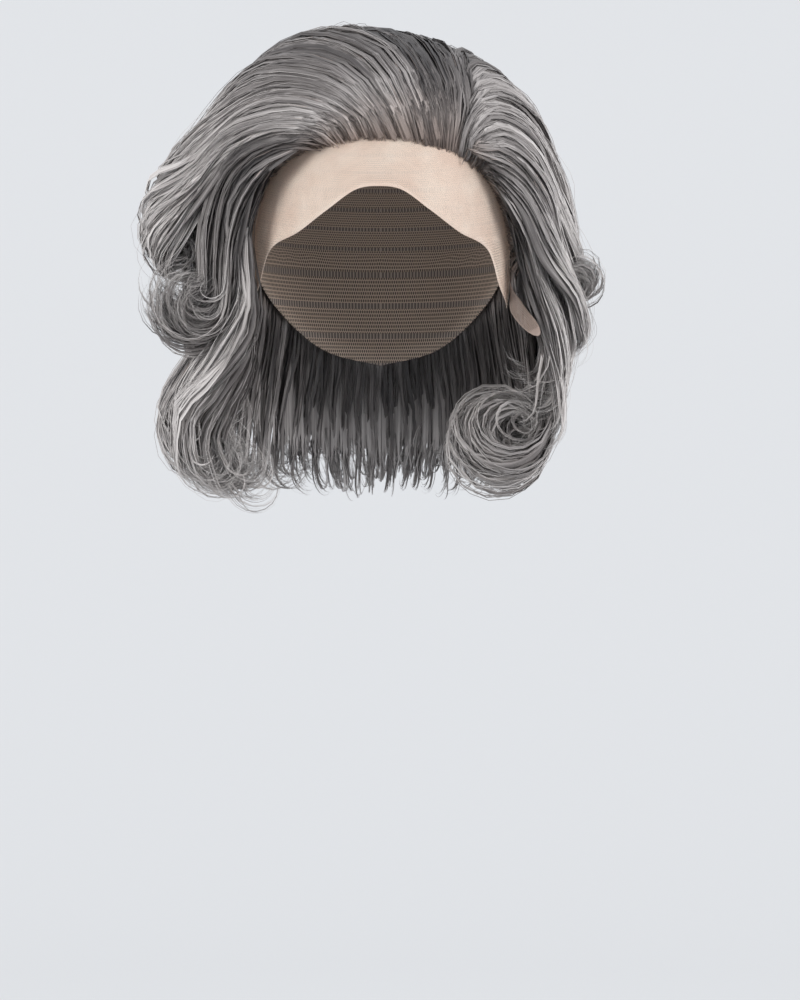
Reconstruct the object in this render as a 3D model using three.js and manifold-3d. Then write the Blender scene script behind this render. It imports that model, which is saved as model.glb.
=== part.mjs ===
// Lace front wig: a thin net cap, a sheer lace front with two ear tabs, and swept-back hair in waves and curls.
// Millimetres, +Z up. The wig faces -Y, and left means -X.
// The origin is the point inside the cap that rests on the top of the head.
import * as THREE from "three";
import { mergeVertices } from "three/addons/utils/BufferGeometryUtils.js";
import Module from "manifold-3d";

const wasm = await Module();
wasm.setup();

// The space that the head fills, an ellipsoid whose lower half is drawn out towards the jaw.
const HEAD = { halfBreadth: 79, halfLength: 98, crownHeight: 100, jawDepth: 160 };

// Walls, and the gap kept between neighbouring pieces.
const CAP_WALL = 1.2;
const LACE_WALL = 1;
const GAP = 0.8;
const HAIR_CLEARANCE = 0.9;

// Hair is placed by how far it turns from the front (degrees, + to the right), how far it has fallen from the
// crown (mm along the comb) and how far it lifts off the head (mm). Past the dome it falls straight down.
const DOME_FALL = 150;

// The body of hair on the cap: its thickness at the hairline, on top, at each side and at the back, how far from
// the edge it takes to get full, the falls over which the sides fill out, and the turns and the fall where the
// temples stay thin. Then the waves over its back, and the curtain that hangs below the cap.
const BODY = {
  edge: 1, top: 22, left: 34, right: 27, back: 33, ramp: 60,
  fillsFrom: 20, fullAt: 110, templeTurn: 74, templeRamp: 40, templeFall: 70,
};
const WAVES = { height: 3, across: 9, along: 62, risesFrom: 20, fullAt: 80, side: -0.2, behind: 0.3 };
const BODY_INSIDE = -8;
const CURTAIN = { inner: 12, outer: 24, settle: 70, thinnest: 2 };

// Facets.
const CAP_COLUMNS = 36;
const CAP_ROWS = 8;
const BODY_ROWS = 10;
const LACE_COLUMNS = 28;
const LACE_ROWS = 6;
const LOCK_STEPS = 8;
const CURL_STEPS_PER_TURN = 8;
const TAB_STEPS = 6;
const HEAD_ROWS = 16;
const MESH_TOLERANCE = 0.5;
const MERGE_DISTANCE = 1e-3;

// Edges of the cap and the lace: height (mm) against the turn from the front (degrees), alike on both sides.
const LACE_EDGE = [
  { turn: 0, height: -73 },
  { turn: 10, height: -75 },
  { turn: 22, height: -86 },
  { turn: 36, height: -98 },
  { turn: 54, height: -107 },
  { turn: 66, height: -127 },
  { turn: 84, height: -138 },
];
const LACE_SEAM = [
  { turn: 0, height: -12 },
  { turn: 40, height: -25 },
  { turn: 65, height: -60 },
  { turn: 78, height: -98 },
  { turn: 84, height: -120 },
];
const NAPE_EDGE = [
  { turn: 84, height: -120 },
  { turn: 98, height: -108 },
  { turn: 120, height: -130 },
  { turn: 150, height: -158 },
  { turn: 180, height: -168 },
];
const LACE_HALF_TURN = 84;
// The cap runs on under the seam by the trim, and is cut back by the lace swelled to this many gaps.
const SEAM_TRIM = 3;
const SEAM_GAPS = 5;

// Where the body of hair ends: each height here is a fall from the crown (mm). The first rows are the hairline,
// the others the curtain.
const HAIR_ENDS = [
  { turn: 0, height: 92 },
  { turn: 30, height: 96 },
  { turn: 48, height: 104 },
  { turn: 61, height: 118 },
  { turn: 70, height: 138 },
  { turn: 77, height: 158 },
  { turn: 84, height: 196 },
  { turn: 94, height: 226 },
  { turn: 130, height: 238 },
  { turn: 180, height: 244 },
];

// Ear tabs: strips of the lace below its corners. The left one lies flat and the right one flips out. Their round
// ends begin at a share of the length and lose a share of the width's square.
const TABS = [
  { stations: [[-79, 172, -0.7], [-79, 186, -1.4], [-77, 199, 1]], width: 11 },
  { stations: [[78, 172, -0.7], [77, 188, 4], [74, 204, 18]], width: 14 },
];
const TAB_END = { begins: 0.6, loses: 0.75 };

// Locks of hair. Each guide has six stations from root to tip, each [turn, fall, lift], the width and thickness
// of the lock, and the curl at its end: turns (+ flips outwards, - rolls under) and the radius of its roll.
// A zone's locks are spread evenly between its guides.
const ZONES = [
  {
    node: "hair_front_left",
    locks: 7,
    guides: [
      { stations: [[28, 95, 4], [24, 86, 13], [20, 60, 20], [2, 24, 28], [-60, 26, 33], [-112, 60, 40]],
        width: 26, thick: 12, curl: { turns: -0.1, radius: 30 } },
      { stations: [[11, 95, 3], [4, 86, 16], [-16, 60, 22], [-66, 57, 34], [-93, 88, 43], [-94, 119, 51]],
        width: 26, thick: 12, curl: { turns: -0.8, radius: 20 } },
      { stations: [[-5, 94, 3], [-10, 87, 17], [-30, 78, 22], [-63, 85, 31], [-81, 108, 41], [-86, 129, 54]],
        width: 24, thick: 12, curl: { turns: -1, radius: 21 } },
      { stations: [[-22, 97, 3], [-27, 95, 18], [-43, 95, 23], [-63, 105, 30], [-74, 124, 37], [-79, 139, 46]],
        width: 22, thick: 12, curl: { turns: -0.9, radius: 18 } },
    ],
  },
  {
    node: "hair_front_right",
    locks: 7,
    guides: [
      { stations: [[32, 62, 16], [36, 42, 25], [62, 36, 30], [96, 46, 34], [112, 72, 35], [114, 104, 35]],
        width: 28, thick: 12, curl: { turns: -0.1, radius: 20 } },
      { stations: [[40, 76, 16], [56, 62, 27], [80, 68, 32], [92, 92, 36], [95, 120, 38], [92, 148, 41]],
        width: 26, thick: 12, curl: { turns: -0.5, radius: 16 } },
      { stations: [[34, 97, 4], [33, 93, 15], [45, 86, 21], [66, 94, 25], [82, 113, 30], [88, 140, 38]],
        width: 24, thick: 12, curl: { turns: -0.4, radius: 16 } },
      { stations: [[47, 103, 3], [48, 103, 15], [60, 112, 20], [72, 130, 24], [79, 150, 31], [83, 168, 37]],
        width: 20, thick: 11, curl: { turns: 0.8, radius: 13 } },
    ],
  },
  {
    node: "hair_left",
    locks: 3,
    guides: [
      { stations: [[-38, 101, 3], [-40, 104, 18], [-52, 112, 23], [-61, 130, 26], [-63, 164, 24], [-62, 190, 22]],
        width: 22, thick: 11, curl: { turns: 1, radius: 22 } },
      { stations: [[-54, 112, 3], [-52, 118, 15], [-55, 132, 19], [-59, 150, 21], [-61, 176, 19], [-62, 192, 21]],
        width: 22, thick: 11, curl: { turns: 0.95, radius: 19 } },
    ],
  },
  {
    node: "hair_left",
    locks: 5,
    guides: [
      { stations: [[-67, 122, 3], [-61, 156, 14], [-58, 204, 11], [-64, 236, 28], [-73, 256, 44], [-74, 284, 33]],
        width: 24, thick: 13, curl: { turns: -0.5, radius: 12 } },
      { stations: [[-82, 135, 4], [-78, 176, 12], [-72, 222, 4], [-76, 250, 16], [-78, 276, 18], [-76, 298, 6]],
        width: 24, thick: 13, curl: { turns: -0.6, radius: 11 } },
      { stations: [[-97, 96, 30], [-98, 128, 40], [-97, 170, 26], [-95, 212, 32], [-90, 248, 48], [-88, 276, 36]],
        width: 30, thick: 15, curl: { turns: -0.6, radius: 13 } },
    ],
  },
  {
    node: "hair_right",
    locks: 4,
    guides: [
      { stations: [[60, 117, 3], [57, 126, 14], [63, 140, 19], [69, 165, 24], [73, 188, 29], [76, 204, 34]],
        width: 20, thick: 11, curl: { turns: 0.55, radius: 11 } },
      { stations: [[74, 139, 4], [69, 150, 10], [71, 172, 15], [74, 196, 20], [79, 216, 25], [84, 232, 26]],
        width: 22, thick: 12, curl: { turns: -0.3, radius: 16 } },
      { stations: [[97, 110, 32], [97, 138, 36], [96, 168, 34], [96, 196, 34], [94, 218, 32], [92, 236, 28]],
        width: 28, thick: 13, curl: { turns: -0.3, radius: 16 } },
    ],
  },
  {
    node: "hair_right",
    locks: 3,
    guides: [
      { stations: [[104, 150, 12], [101, 180, 22], [97, 206, 30], [93, 232, 32], [88, 250, 31], [84, 262, 29]],
        width: 24, thick: 12, curl: { turns: -1.2, radius: 25 } },
      { stations: [[120, 150, 14], [117, 180, 24], [114, 210, 30], [112, 236, 30], [109, 256, 28], [106, 272, 25]],
        width: 26, thick: 12, curl: { turns: -1, radius: 20 } },
    ],
  },
  {
    node: "hair_back",
    locks: 7,
    guides: [
      { stations: [[254, 112, 26], [252, 148, 38], [250, 184, 32], [250, 216, 30], [252, 244, 34], [254, 266, 32]],
        width: 56, thick: 16, curl: { turns: -0.6, radius: 15 } },
      { stations: [[180, 112, 27], [180, 152, 39], [180, 194, 30], [180, 228, 26], [180, 256, 30], [180, 280, 28]],
        width: 62, thick: 16, curl: { turns: -0.6, radius: 15 } },
      { stations: [[118, 112, 22], [118, 148, 35], [117, 184, 32], [116, 216, 28], [117, 244, 30], [118, 266, 28]],
        width: 54, thick: 16, curl: { turns: -0.6, radius: 15 } },
    ],
  },
];
// The band that a node's locks are sewn to.
const BAND = { width: 12, thick: 5, sunk: 3 };
// How full a lock is at its root and its tip, the shares of its length where it is whole, and how far its curl
// closes in.
const LOCK_FULLNESS = { root: 0.6, wholeFrom: 0.3, wholeTo: 0.7, tip: 0.45 };
const CURL_CLOSES_TO = 0.6;
// Section of a lock, flat on the side towards the head: shares of its half width and half thickness.
const LOCK_SECTION = [[0.9, -0.9], [0.9, 0.35], [0, 1], [-0.9, 0.35], [-0.9, -0.9]];
// Each later node is cut clear of those before it.
const HAIR_ORDER = ["hair_front_left", "hair_front_right", "hair_left", "hair_right", "hair_back"];

const MATERIALS = {
  lace: new THREE.MeshStandardMaterial({ color: 0xd2b8a2, roughness: 0.85, metalness: 0 }),
  cap: new THREE.MeshStandardMaterial({ color: 0x3c3734, roughness: 0.9, metalness: 0 }),
  hair: new THREE.MeshStandardMaterial({ color: 0x8a8583, roughness: 0.45, metalness: 0 }),
};

const { lerp, degToRad, smoothstep } = THREE.MathUtils;

// A smooth curve through a table of turn and height, read at a turn on either side.
function heightAt(table, turn) {
  const around = Math.abs(turn);
  const last = table.length - 2;
  const next = table.findIndex((row) => row.turn >= around);
  const i = Math.min(Math.max(next - 1, 0), last);
  const slope = (k) => {
    const a = table[Math.max(k - 1, 0)];
    const b = table[Math.min(k + 1, last + 1)];
    return k === 0 ? 0 : (b.height - a.height) / (b.turn - a.turn);
  };
  const [from, to] = [table[i], table[i + 1]];
  const span = to.turn - from.turn;
  const t = (around - from.turn) / span;
  const bend = t * (1 - t) * span;
  return (
    lerp(from.height, to.height, t * t * (3 - 2 * t)) +
    bend * ((1 - t) * slope(i) - t * slope(i + 1))
  );
}

// The angle down from the crown at which the head has a given height.
function tiltAt(height) {
  const above = height + HEAD.crownHeight;
  return above > 0
    ? Math.acos(Math.min(1, above / HEAD.crownHeight))
    : Math.PI / 2 + Math.asin(Math.min(1, -above / HEAD.jawDepth));
}

// A point at an angle round the head and down from the crown, some way off its surface.
function headPoint(turn, tilt, off) {
  const around = degToRad(turn);
  const rise = Math.cos(tilt) > 0 ? HEAD.crownHeight + off : HEAD.jawDepth + off;
  return new THREE.Vector3(
    (HEAD.halfBreadth + off) * Math.sin(tilt) * Math.sin(around),
    -(HEAD.halfLength + off) * Math.sin(tilt) * Math.cos(around),
    rise * Math.cos(tilt) - HEAD.crownHeight,
  );
}

// A point of the hair: on the dome as far as the widest level, and straight down from there.
function hairPoint([turn, fall, lift]) {
  const tilt = (Math.min(fall, DOME_FALL) / DOME_FALL) * (Math.PI / 2);
  const around = degToRad(turn);
  return new THREE.Vector3(
    (HEAD.halfBreadth + lift) * Math.sin(tilt) * Math.sin(around),
    -(HEAD.halfLength + lift) * Math.sin(tilt) * Math.cos(around),
    (HEAD.crownHeight + lift) * Math.cos(tilt) - HEAD.crownHeight - Math.max(0, fall - DOME_FALL),
  );
}

// The way out of the head at a point.
function outwards(at) {
  return new THREE.Vector3(
    at.x / HEAD.halfBreadth ** 2,
    at.y / HEAD.halfLength ** 2,
    Math.max(0, at.z + HEAD.crownHeight) / HEAD.crownHeight ** 2,
  ).normalize();
}

// A closed solid from points and triangles, with shared points merged and collapsed triangles dropped.
function solidOf(points, triangles) {
  const loose = new THREE.BufferGeometry();
  loose.setAttribute("position", new THREE.Float32BufferAttribute(points.flatMap((p) => p.toArray()), 3));
  loose.setIndex(triangles.flat());
  const merged = mergeVertices(loose, MERGE_DISTANCE);
  const corners = [...merged.index.array];
  const kept = [];
  for (let i = 0; i < corners.length; i += 3) {
    const [a, b, c] = corners.slice(i, i + 3);
    if (a !== b && b !== c && c !== a) kept.push(a, b, c);
  }
  return new wasm.Manifold(
    new wasm.Mesh({
      numProp: 3,
      vertProperties: merged.attributes.position.array,
      triVerts: new Uint32Array(kept),
    }),
  );
}

// A wall over part of the head: columns of points from the top edge to the bottom one, inside and outside.
// `place` gives the point at a turn and a share of the way down, on the inside (0) or the outside (1).
function wall({ turns, closed, rows, place }) {
  const points = [];
  const index = (side, column, row) => (side * turns.length + column) * (rows + 1) + row;
  for (const side of [0, 1])
    for (const turn of turns)
      for (let row = 0; row <= rows; row++) points.push(place(turn, row / rows, side));
  const triangles = [];
  const quad = (a, b, c, d) => triangles.push([a, b, c], [a, c, d]);
  const columns = closed ? turns.length : turns.length - 1;
  for (let column = 0; column < columns; column++) {
    const next = (column + 1) % turns.length;
    for (let row = 0; row < rows; row++) {
      const [a, b] = [index(1, column, row), index(1, next, row)];
      quad(a, a + 1, b + 1, b);
      const [c, d] = [index(0, column, row), index(0, next, row)];
      quad(c, d, d + 1, c + 1);
    }
    quad(index(0, column, 0), index(1, column, 0), index(1, next, 0), index(0, next, 0));
    quad(index(0, next, rows), index(1, next, rows), index(1, column, rows), index(0, column, rows));
  }
  if (!closed)
    for (let row = 0; row < rows; row++) {
      const end = turns.length - 1;
      quad(index(0, 0, row), index(0, 0, row + 1), index(1, 0, row + 1), index(1, 0, row));
      quad(index(1, end, row), index(1, end, row + 1), index(0, end, row + 1), index(0, end, row));
    }
  return solidOf(points, triangles);
}

function evenTurns(from, to, columns, closed) {
  const steps = closed ? columns : columns - 1;
  return Array.from({ length: columns }, (_, i) => from + ((to - from) * i) / steps);
}

const onFront = (turn) => Math.abs(turn) <= LACE_HALF_TURN;
const fullTurn = () => evenTurns(-180, 180, CAP_COLUMNS, true);

// The net cap: from the lace seam in front, over the ears, to the nape, and cut clear of the lace at the seam.
function makeCap() {
  const edge = (turn) => (onFront(turn) ? heightAt(LACE_SEAM, turn) - SEAM_TRIM : heightAt(NAPE_EDGE, turn));
  const dome = wall({
    turns: fullTurn(),
    closed: true,
    rows: CAP_ROWS,
    place: (turn, share, side) => headPoint(turn, tiltAt(edge(turn)) * share, side * CAP_WALL),
  });
  return dome.subtract(makeSheet(GAP));
}

// The lace between the seam on the crown and the free edge on the forehead. `grow` swells it, to cut the cap.
function makeSheet(grow = 0) {
  const top = (turn) => tiltAt(heightAt(LACE_SEAM, turn) + grow);
  const bottom = (turn) => tiltAt(heightAt(LACE_EDGE, turn));
  const swell = SEAM_GAPS * grow;
  return wall({
    turns: evenTurns(-LACE_HALF_TURN, LACE_HALF_TURN, LACE_COLUMNS, false),
    closed: false,
    rows: LACE_ROWS,
    place: (turn, share, side) =>
      headPoint(turn, lerp(top(turn), bottom(turn), share), side ? LACE_WALL + swell : -swell),
  });
}

// A strip of lace through stations of the hair's coordinates, with a round end. `grow` swells it, to cut hair.
function makeTab({ stations, width }, grow = 0) {
  const curve = new THREE.CatmullRomCurve3(stations.map(hairPoint));
  const rings = [];
  for (let i = 0; i <= TAB_STEPS; i++) {
    const t = i / TAB_STEPS;
    const at = curve.getPoint(t);
    const along = curve.getTangent(t);
    const out = outwards(at).projectOnPlane(along).normalize();
    const across = along.clone().cross(out);
    const half = (width / 2) * Math.sqrt(1 - smoothstep(t, TAB_END.begins, 1) * TAB_END.loses) + grow;
    const corner = (side, off) => at.clone().addScaledVector(across, side * half).addScaledVector(out, off);
    const [inside, outside] = [-grow, LACE_WALL + grow];
    rings.push([corner(-1, inside), corner(-1, outside), corner(1, outside), corner(1, inside)]);
  }
  return sweep(rings);
}

// A closed solid through rings of points, with a flat fan on each end.
function sweep(rings) {
  const sides = rings[0].length;
  const points = rings.flat();
  const triangles = [];
  for (let ring = 0; ring + 1 < rings.length; ring++)
    for (let side = 0; side < sides; side++) {
      const next = (side + 1) % sides;
      const [a, b] = [ring * sides + side, ring * sides + next];
      triangles.push([a, b, b + sides], [a, b + sides, a + sides]);
    }
  const end = (rings.length - 1) * sides;
  for (let side = 1; side + 1 < sides; side++) {
    triangles.push([0, side + 1, side], [end, end + side, end + side + 1]);
  }
  return solidOf(points, triangles);
}

// The lace front: the sheet with its two tabs.
function makeLace() {
  return TABS.reduce((lace, tab) => lace.add(makeTab(tab)), makeSheet());
}

// How far the body of hair stands off the head at a turn and a fall, thin at its edge and full on the crown.
function bodyLift(turn, fall) {
  const frontness = Math.cos(degToRad(turn));
  const side = Math.sin(degToRad(turn)) > 0 ? BODY.right : BODY.left;
  const level = lerp(side, frontness > 0 ? BODY.top : BODY.back, frontness ** 2);
  const full = lerp(BODY.top, level, smoothstep(fall, BODY.fillsFrom, BODY.fullAt));
  const hanging = lerp(full, CURTAIN.outer, smoothstep(fall, DOME_FALL, DOME_FALL + CURTAIN.settle));
  const fromEnd = heightAt(HAIR_ENDS, turn) - fall;
  const inFront = onFront(turn) ? smoothstep(fromEnd, 0, BODY.ramp) : 1;
  const fromTemple = smoothstep(Math.abs(turn), BODY.templeTurn, BODY.templeTurn + BODY.templeRamp);
  const low = smoothstep(fall, BODY.templeFall, DOME_FALL);
  const shifted = Math.sin((fall / WAVES.along) * Math.PI);
  const ripple = Math.sin((turn / 360) * WAVES.across * 2 * Math.PI + shifted);
  const lowDown = smoothstep(fall, WAVES.risesFrom, WAVES.fullAt);
  const behind = smoothstep(-frontness, WAVES.side, WAVES.behind);
  const waved = hanging + WAVES.height * ripple * lowDown * behind;
  return lerp(BODY.edge, waved, Math.min(inFront, lerp(1, fromTemple, low)));
}

// The body of hair: a dome on the cap that goes on down as a curtain from the temples round the back.
// `grow` swells it, to cut the locks clear of it.
function makeBody(grow = 0) {
  return wall({
    turns: fullTurn(),
    closed: true,
    rows: BODY_ROWS,
    place: (turn, share, side) => {
      const fall = (heightAt(HAIR_ENDS, turn) + grow) * share;
      const hang = smoothstep(fall, DOME_FALL, DOME_FALL + CURTAIN.settle);
      const outer = CAP_WALL + HAIR_CLEARANCE + bodyLift(turn, fall);
      const inner = Math.min(lerp(BODY_INSIDE, CURTAIN.inner, hang), outer - CURTAIN.thinnest);
      return hairPoint([turn, fall, side ? outer + grow : inner - grow]);
    },
  });
}

// The solid that the head and cap take up, which no hair enters.
function makeHeadSpace() {
  const off = CAP_WALL + HAIR_CLEARANCE;
  return wall({
    turns: fullTurn(),
    closed: true,
    rows: HEAD_ROWS,
    place: (turn, share, side) => headPoint(turn, Math.PI * share, side ? off : off - 2 * HEAD.halfBreadth),
  });
}

// One guide's values at a share of the way to the next guide.
function blend(from, to, share) {
  return {
    stations: from.stations.map((row, i) => row.map((value, k) => lerp(value, to.stations[i][k], share))),
    width: lerp(from.width, to.width, share),
    thick: lerp(from.thick, to.thick, share),
    curl: {
      turns: lerp(from.curl.turns, to.curl.turns, share),
      radius: lerp(from.curl.radius, to.curl.radius, share),
    },
  };
}

// A zone's locks, spread evenly between its guides.
function locksOf({ guides, locks }) {
  return Array.from({ length: locks }, (_, i) => {
    const place = (i / (locks - 1)) * (guides.length - 1);
    const first = Math.min(Math.floor(place), guides.length - 2);
    return blend(guides[first], guides[first + 1], place - first);
  });
}

// The band that a node's locks are sewn to, run across them a little way up from their roots.
function bandOf(locks) {
  const stations = locks.map(({ stations: [, [turn, fall, lift]] }) => [turn, fall, lift - BAND.sunk]);
  return { stations, width: BAND.width, thick: BAND.thick, curl: { turns: 0, radius: 0 } };
}

// The middle line of a lock: a smooth curve through its stations, then the roll of its curl.
function spineOf({ stations, curl }) {
  const curve = new THREE.CatmullRomCurve3(stations.map(hairPoint), false, "centripetal");
  const spine = [];
  for (let i = 0; i <= LOCK_STEPS; i++) {
    const at = curve.getPointAt(i / LOCK_STEPS);
    const along = curve.getTangentAt(i / LOCK_STEPS);
    spine.push({ at, along, out: outwards(at).projectOnPlane(along).normalize() });
  }
  const steps = Math.ceil(Math.abs(curl.turns) * CURL_STEPS_PER_TURN);
  const bend = (curl.turns * 2 * Math.PI) / Math.max(steps, 1);
  for (let i = 0; i < steps; i++) {
    const { at, along, out } = spine.at(-1);
    const axis = along.clone().cross(out);
    const radius = curl.radius * lerp(1, CURL_CLOSES_TO, i / steps);
    const half = along.clone().applyAxisAngle(axis, bend / 2);
    spine.push({
      at: at.clone().addScaledVector(half, radius * Math.abs(bend)),
      along: along.clone().applyAxisAngle(axis, bend),
      out: out.clone().applyAxisAngle(axis, bend),
    });
  }
  return spine;
}

// A lock: a flattened section carried along its spine, narrow at the root and the tip, made in stretches that
// are joined, so that the roll of a curl may touch itself. `grow` swells the lock, to cut its neighbours.
function makeLock(lock, grow = 0) {
  const spine = spineOf(lock);
  const { root, wholeFrom, wholeTo, tip } = LOCK_FULLNESS;
  const rings = spine.map(({ at, along, out }, i) => {
    const t = i / (spine.length - 1);
    const full = lerp(root, 1, smoothstep(t, 0, wholeFrom)) * lerp(1, tip, smoothstep(t, wholeTo, 1));
    const across = out.clone().cross(along);
    return LOCK_SECTION.map(([aside, up]) =>
      at
        .clone()
        .addScaledVector(across, aside * ((lock.width / 2) * full + grow))
        .addScaledVector(out, up * ((lock.thick / 2) * full + grow)),
    );
  });
  const half = Math.ceil(CURL_STEPS_PER_TURN / 2);
  let solid = sweep(rings.slice(0, LOCK_STEPS + 1));
  for (let from = LOCK_STEPS; from + 1 < rings.length; from += half)
    solid = solid.add(sweep(rings.slice(from, from + half + 1)));
  return solid;
}

// The largest body of a cut solid, without the slivers and sealed pockets that cutting leaves.
function tidied(solid) {
  const larger = (best, body) => (body.volume() > best.volume() ? body : best);
  const largest = (cut) => cut.decompose().reduce(larger);
  return largest(largest(solid).asOriginal().simplify(MESH_TOLERANCE));
}

// The hair nodes: the body, then each zone's locks fused together on their band, cut clear of the head, the tabs
// and the hair made before.
function makeHair() {
  const cutters = [makeHeadSpace(), ...TABS.map((tab) => makeTab(tab, GAP))];
  const made = { hair_body: tidied(makeBody().subtract(wasm.Manifold.union(cutters))) };
  cutters.push(makeBody(GAP));
  for (const node of HAIR_ORDER) {
    const locks = ZONES.filter((zone) => zone.node === node).flatMap(locksOf);
    locks.push(bandOf(locks));
    const fused = wasm.Manifold.union(locks.map((lock) => makeLock(lock)));
    made[node] = tidied(fused.subtract(wasm.Manifold.union(cutters)));
    cutters.push(...locks.map((lock) => makeLock(lock, GAP)));
  }
  return made;
}

// A named mesh from a solid.
function meshOf(name, solid, material) {
  const { vertProperties, triVerts } = solid.getMesh();
  const geometry = new THREE.BufferGeometry();
  geometry.setAttribute("position", new THREE.BufferAttribute(vertProperties, 3));
  geometry.setIndex(new THREE.BufferAttribute(triVerts, 1));
  geometry.computeVertexNormals();
  const mesh = new THREE.Mesh(geometry, material);
  mesh.name = name;
  return mesh;
}

const wig = new THREE.Group();
wig.name = "lace_front_wig";
wig.add(meshOf("cap", makeCap(), MATERIALS.cap));
wig.add(meshOf("lace_front", makeLace(), MATERIALS.lace));
for (const [name, solid] of Object.entries(makeHair())) wig.add(meshOf(name, solid, MATERIALS.hair));

export default wig;
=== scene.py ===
import bpy
import numpy as np
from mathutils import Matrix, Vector


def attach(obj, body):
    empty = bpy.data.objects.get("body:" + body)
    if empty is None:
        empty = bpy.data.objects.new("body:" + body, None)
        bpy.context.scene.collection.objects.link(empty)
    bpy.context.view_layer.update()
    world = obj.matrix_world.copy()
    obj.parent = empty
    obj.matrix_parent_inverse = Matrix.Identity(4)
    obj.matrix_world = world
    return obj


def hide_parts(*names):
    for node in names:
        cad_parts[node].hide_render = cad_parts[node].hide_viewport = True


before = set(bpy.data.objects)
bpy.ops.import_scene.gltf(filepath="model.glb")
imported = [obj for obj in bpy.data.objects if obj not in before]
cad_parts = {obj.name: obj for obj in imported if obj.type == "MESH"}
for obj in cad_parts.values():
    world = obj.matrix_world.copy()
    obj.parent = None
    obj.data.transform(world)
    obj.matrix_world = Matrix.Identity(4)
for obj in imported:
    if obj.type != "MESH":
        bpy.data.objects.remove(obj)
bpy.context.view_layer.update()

# Lace front wig: strands of grey hair over a body of hair, a sheer net front with ear tabs, and a net cap.
# Tables are in millimetres and degrees, in the frame of the solids; meshes are in metres.
MM = 0.001
rng = np.random.default_rng(41)

# The cap's form: an ellipsoid whose lower half is drawn out downwards. Walls and the faces next to the form.
HALF_BREADTH, HALF_LENGTH, CROWN, LOWER = 79.0, 98.0, 100.0, 160.0
DOME_FALL = 150.0
CAP_WALL, LACE_WALL, HAIR_CLEARANCE = 1.2, 0.3, 0.9
CAP_INSIDE, LACE_INSIDE = 0.2, 0.4
POLE = 0.002

# Edges, each row (turn from the front, height), alike on both sides.
LACE_EDGE = [(0, -73), (10, -75), (22, -86), (36, -98), (54, -107), (66, -127), (84, -138)]
LACE_SEAM = [(0, -12), (40, -25), (65, -60), (78, -98), (84, -120)]
NAPE_EDGE = [(84, -120), (98, -108), (120, -130), (150, -158), (180, -168)]
LACE_HALF_TURN = 84.0
SEAM_GAP = 0.5

# Nets: length round the cap and from crown to foot on their map, and the scale and thread of their cells.
CAP_NET, LACE_NET = (560, 300), (540, 300)
CAP_CELLS, CAP_THREAD = 0.6, 0.16
LACE_CELLS, LACE_THREAD = 1.5, 0.15
LACE_RIM = dict(cover=0.6, starts=0.988, ends=0.996)

# Points down and round the cap, the lace and the body of hair.
CAP_GRID, LACE_GRID, BODY_GRID = (28, 108), (28, 100), (40, 120)
MAP_WIDTH, MAP_STEP = 0.48, 0.52

# Where the body of hair ends: rows (turn, fall). The first are the hairline, the others the curtain.
HAIR_ENDS = [(0, 92), (30, 96), (48, 104), (61, 118), (70, 138),
             (77, 158), (84, 196), (94, 234), (130, 276), (180, 290)]
BODY = dict(edge=1, top=22, left=34, right=27, back=33, ramp=60, fills_from=20, full_at=110,
            temple_turn=74, temple_ramp=40, temple_fall=70, off_cap=0.4, thinnest=0.5)
CURTAIN = dict(inner=16, outer=24, settle=70, thins_from=0.8, edge=1)

# Ear tabs: stations (turn, fall, lift), width, and the way across the free end. The left one lies flat; the
# right one flips out and turns its face forwards.
TABS = dict(
    ear_tab_left=dict(stations=[(-79, 172, -0.7), (-79, 186, -1.4), (-77, 199, 1)],
                      width=11, faces=(0.5, 0.85, 0.1)),
    ear_tab_right=dict(stations=[(80, 164, -0.4), (77, 184, 3), (70, 206, 22)],
                       width=9, faces=(0.78, 0.1, 0.6)),
)
TAB = dict(along=24, across=12, root_width=0.9, round_from=0.7, end=0.97, cup=0.12,
           net=(6, 30), rim=(0.86, 0.9))

# Guides of the hair. Columns: six stations (turn, fall, lift) from root to tip; width and thickness of a
# lock; turns of the end curl (+ flips outwards, - rolls under) and its radius; 1 where the root is on the
# hairline.
FRONT_LEFT = [
    ([(30, 95, 4), (25, 80, 15), (14, 42, 24), (-56, 26, 31), (-103, 62, 40), (-108, 106, 45)],
     26, 12, -0.8, 17, 1),
    ([(11, 95, 3), (4, 86, 15), (-16, 60, 23), (-66, 57, 36), (-93, 88, 43), (-95, 118, 47)],
     26, 12, -0.95, 17, 1),
    ([(-5, 94, 3), (-10, 87, 16), (-30, 78, 22), (-63, 85, 32), (-81, 107, 42), (-86, 127, 53)],
     24, 12, -1.1, 17, 1),
    ([(-22, 97, 3), (-27, 95, 17), (-43, 95, 22), (-63, 105, 29), (-74, 123, 39), (-80, 138, 59)],
     22, 12, -1.05, 16, 1),
    ([(-27, 98, 3), (-31, 98, 16), (-46, 100, 21), (-63, 112, 27), (-73, 134, 36), (-78, 150, 50)],
     22, 12, -0.9, 14, 1),
]
FRONT_RIGHT = [
    ([(50, 84, 6), (53, 71, 17), (68, 58, 26), (86, 64, 32), (104, 88, 36), (111, 122, 37)],
     26, 12, -0.7, 17, 0),
    ([(48, 92, 5), (50, 82, 15), (60, 75, 25), (80, 89, 33), (94, 117, 35), (98, 148, 37)],
     26, 12, -0.7, 17, 0),
    ([(45, 99, 4), (45, 93, 13), (51, 87, 21), (66, 94, 27), (81, 113, 29), (90, 146, 38)],
     24, 12, -0.4, 16, 1),
    ([(52, 106, 3), (51, 107, 14), (61, 114, 19), (72, 131, 23), (81, 156, 29), (86, 181, 40)],
     20, 11, -0.25, 14, 1),
    ([(59, 116, 3), (56, 123, 13), (63, 136, 18), (71, 158, 24), (79, 184, 40), (85, 206, 45)],
     20, 11, -0.4, 14, 1),
]
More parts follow.
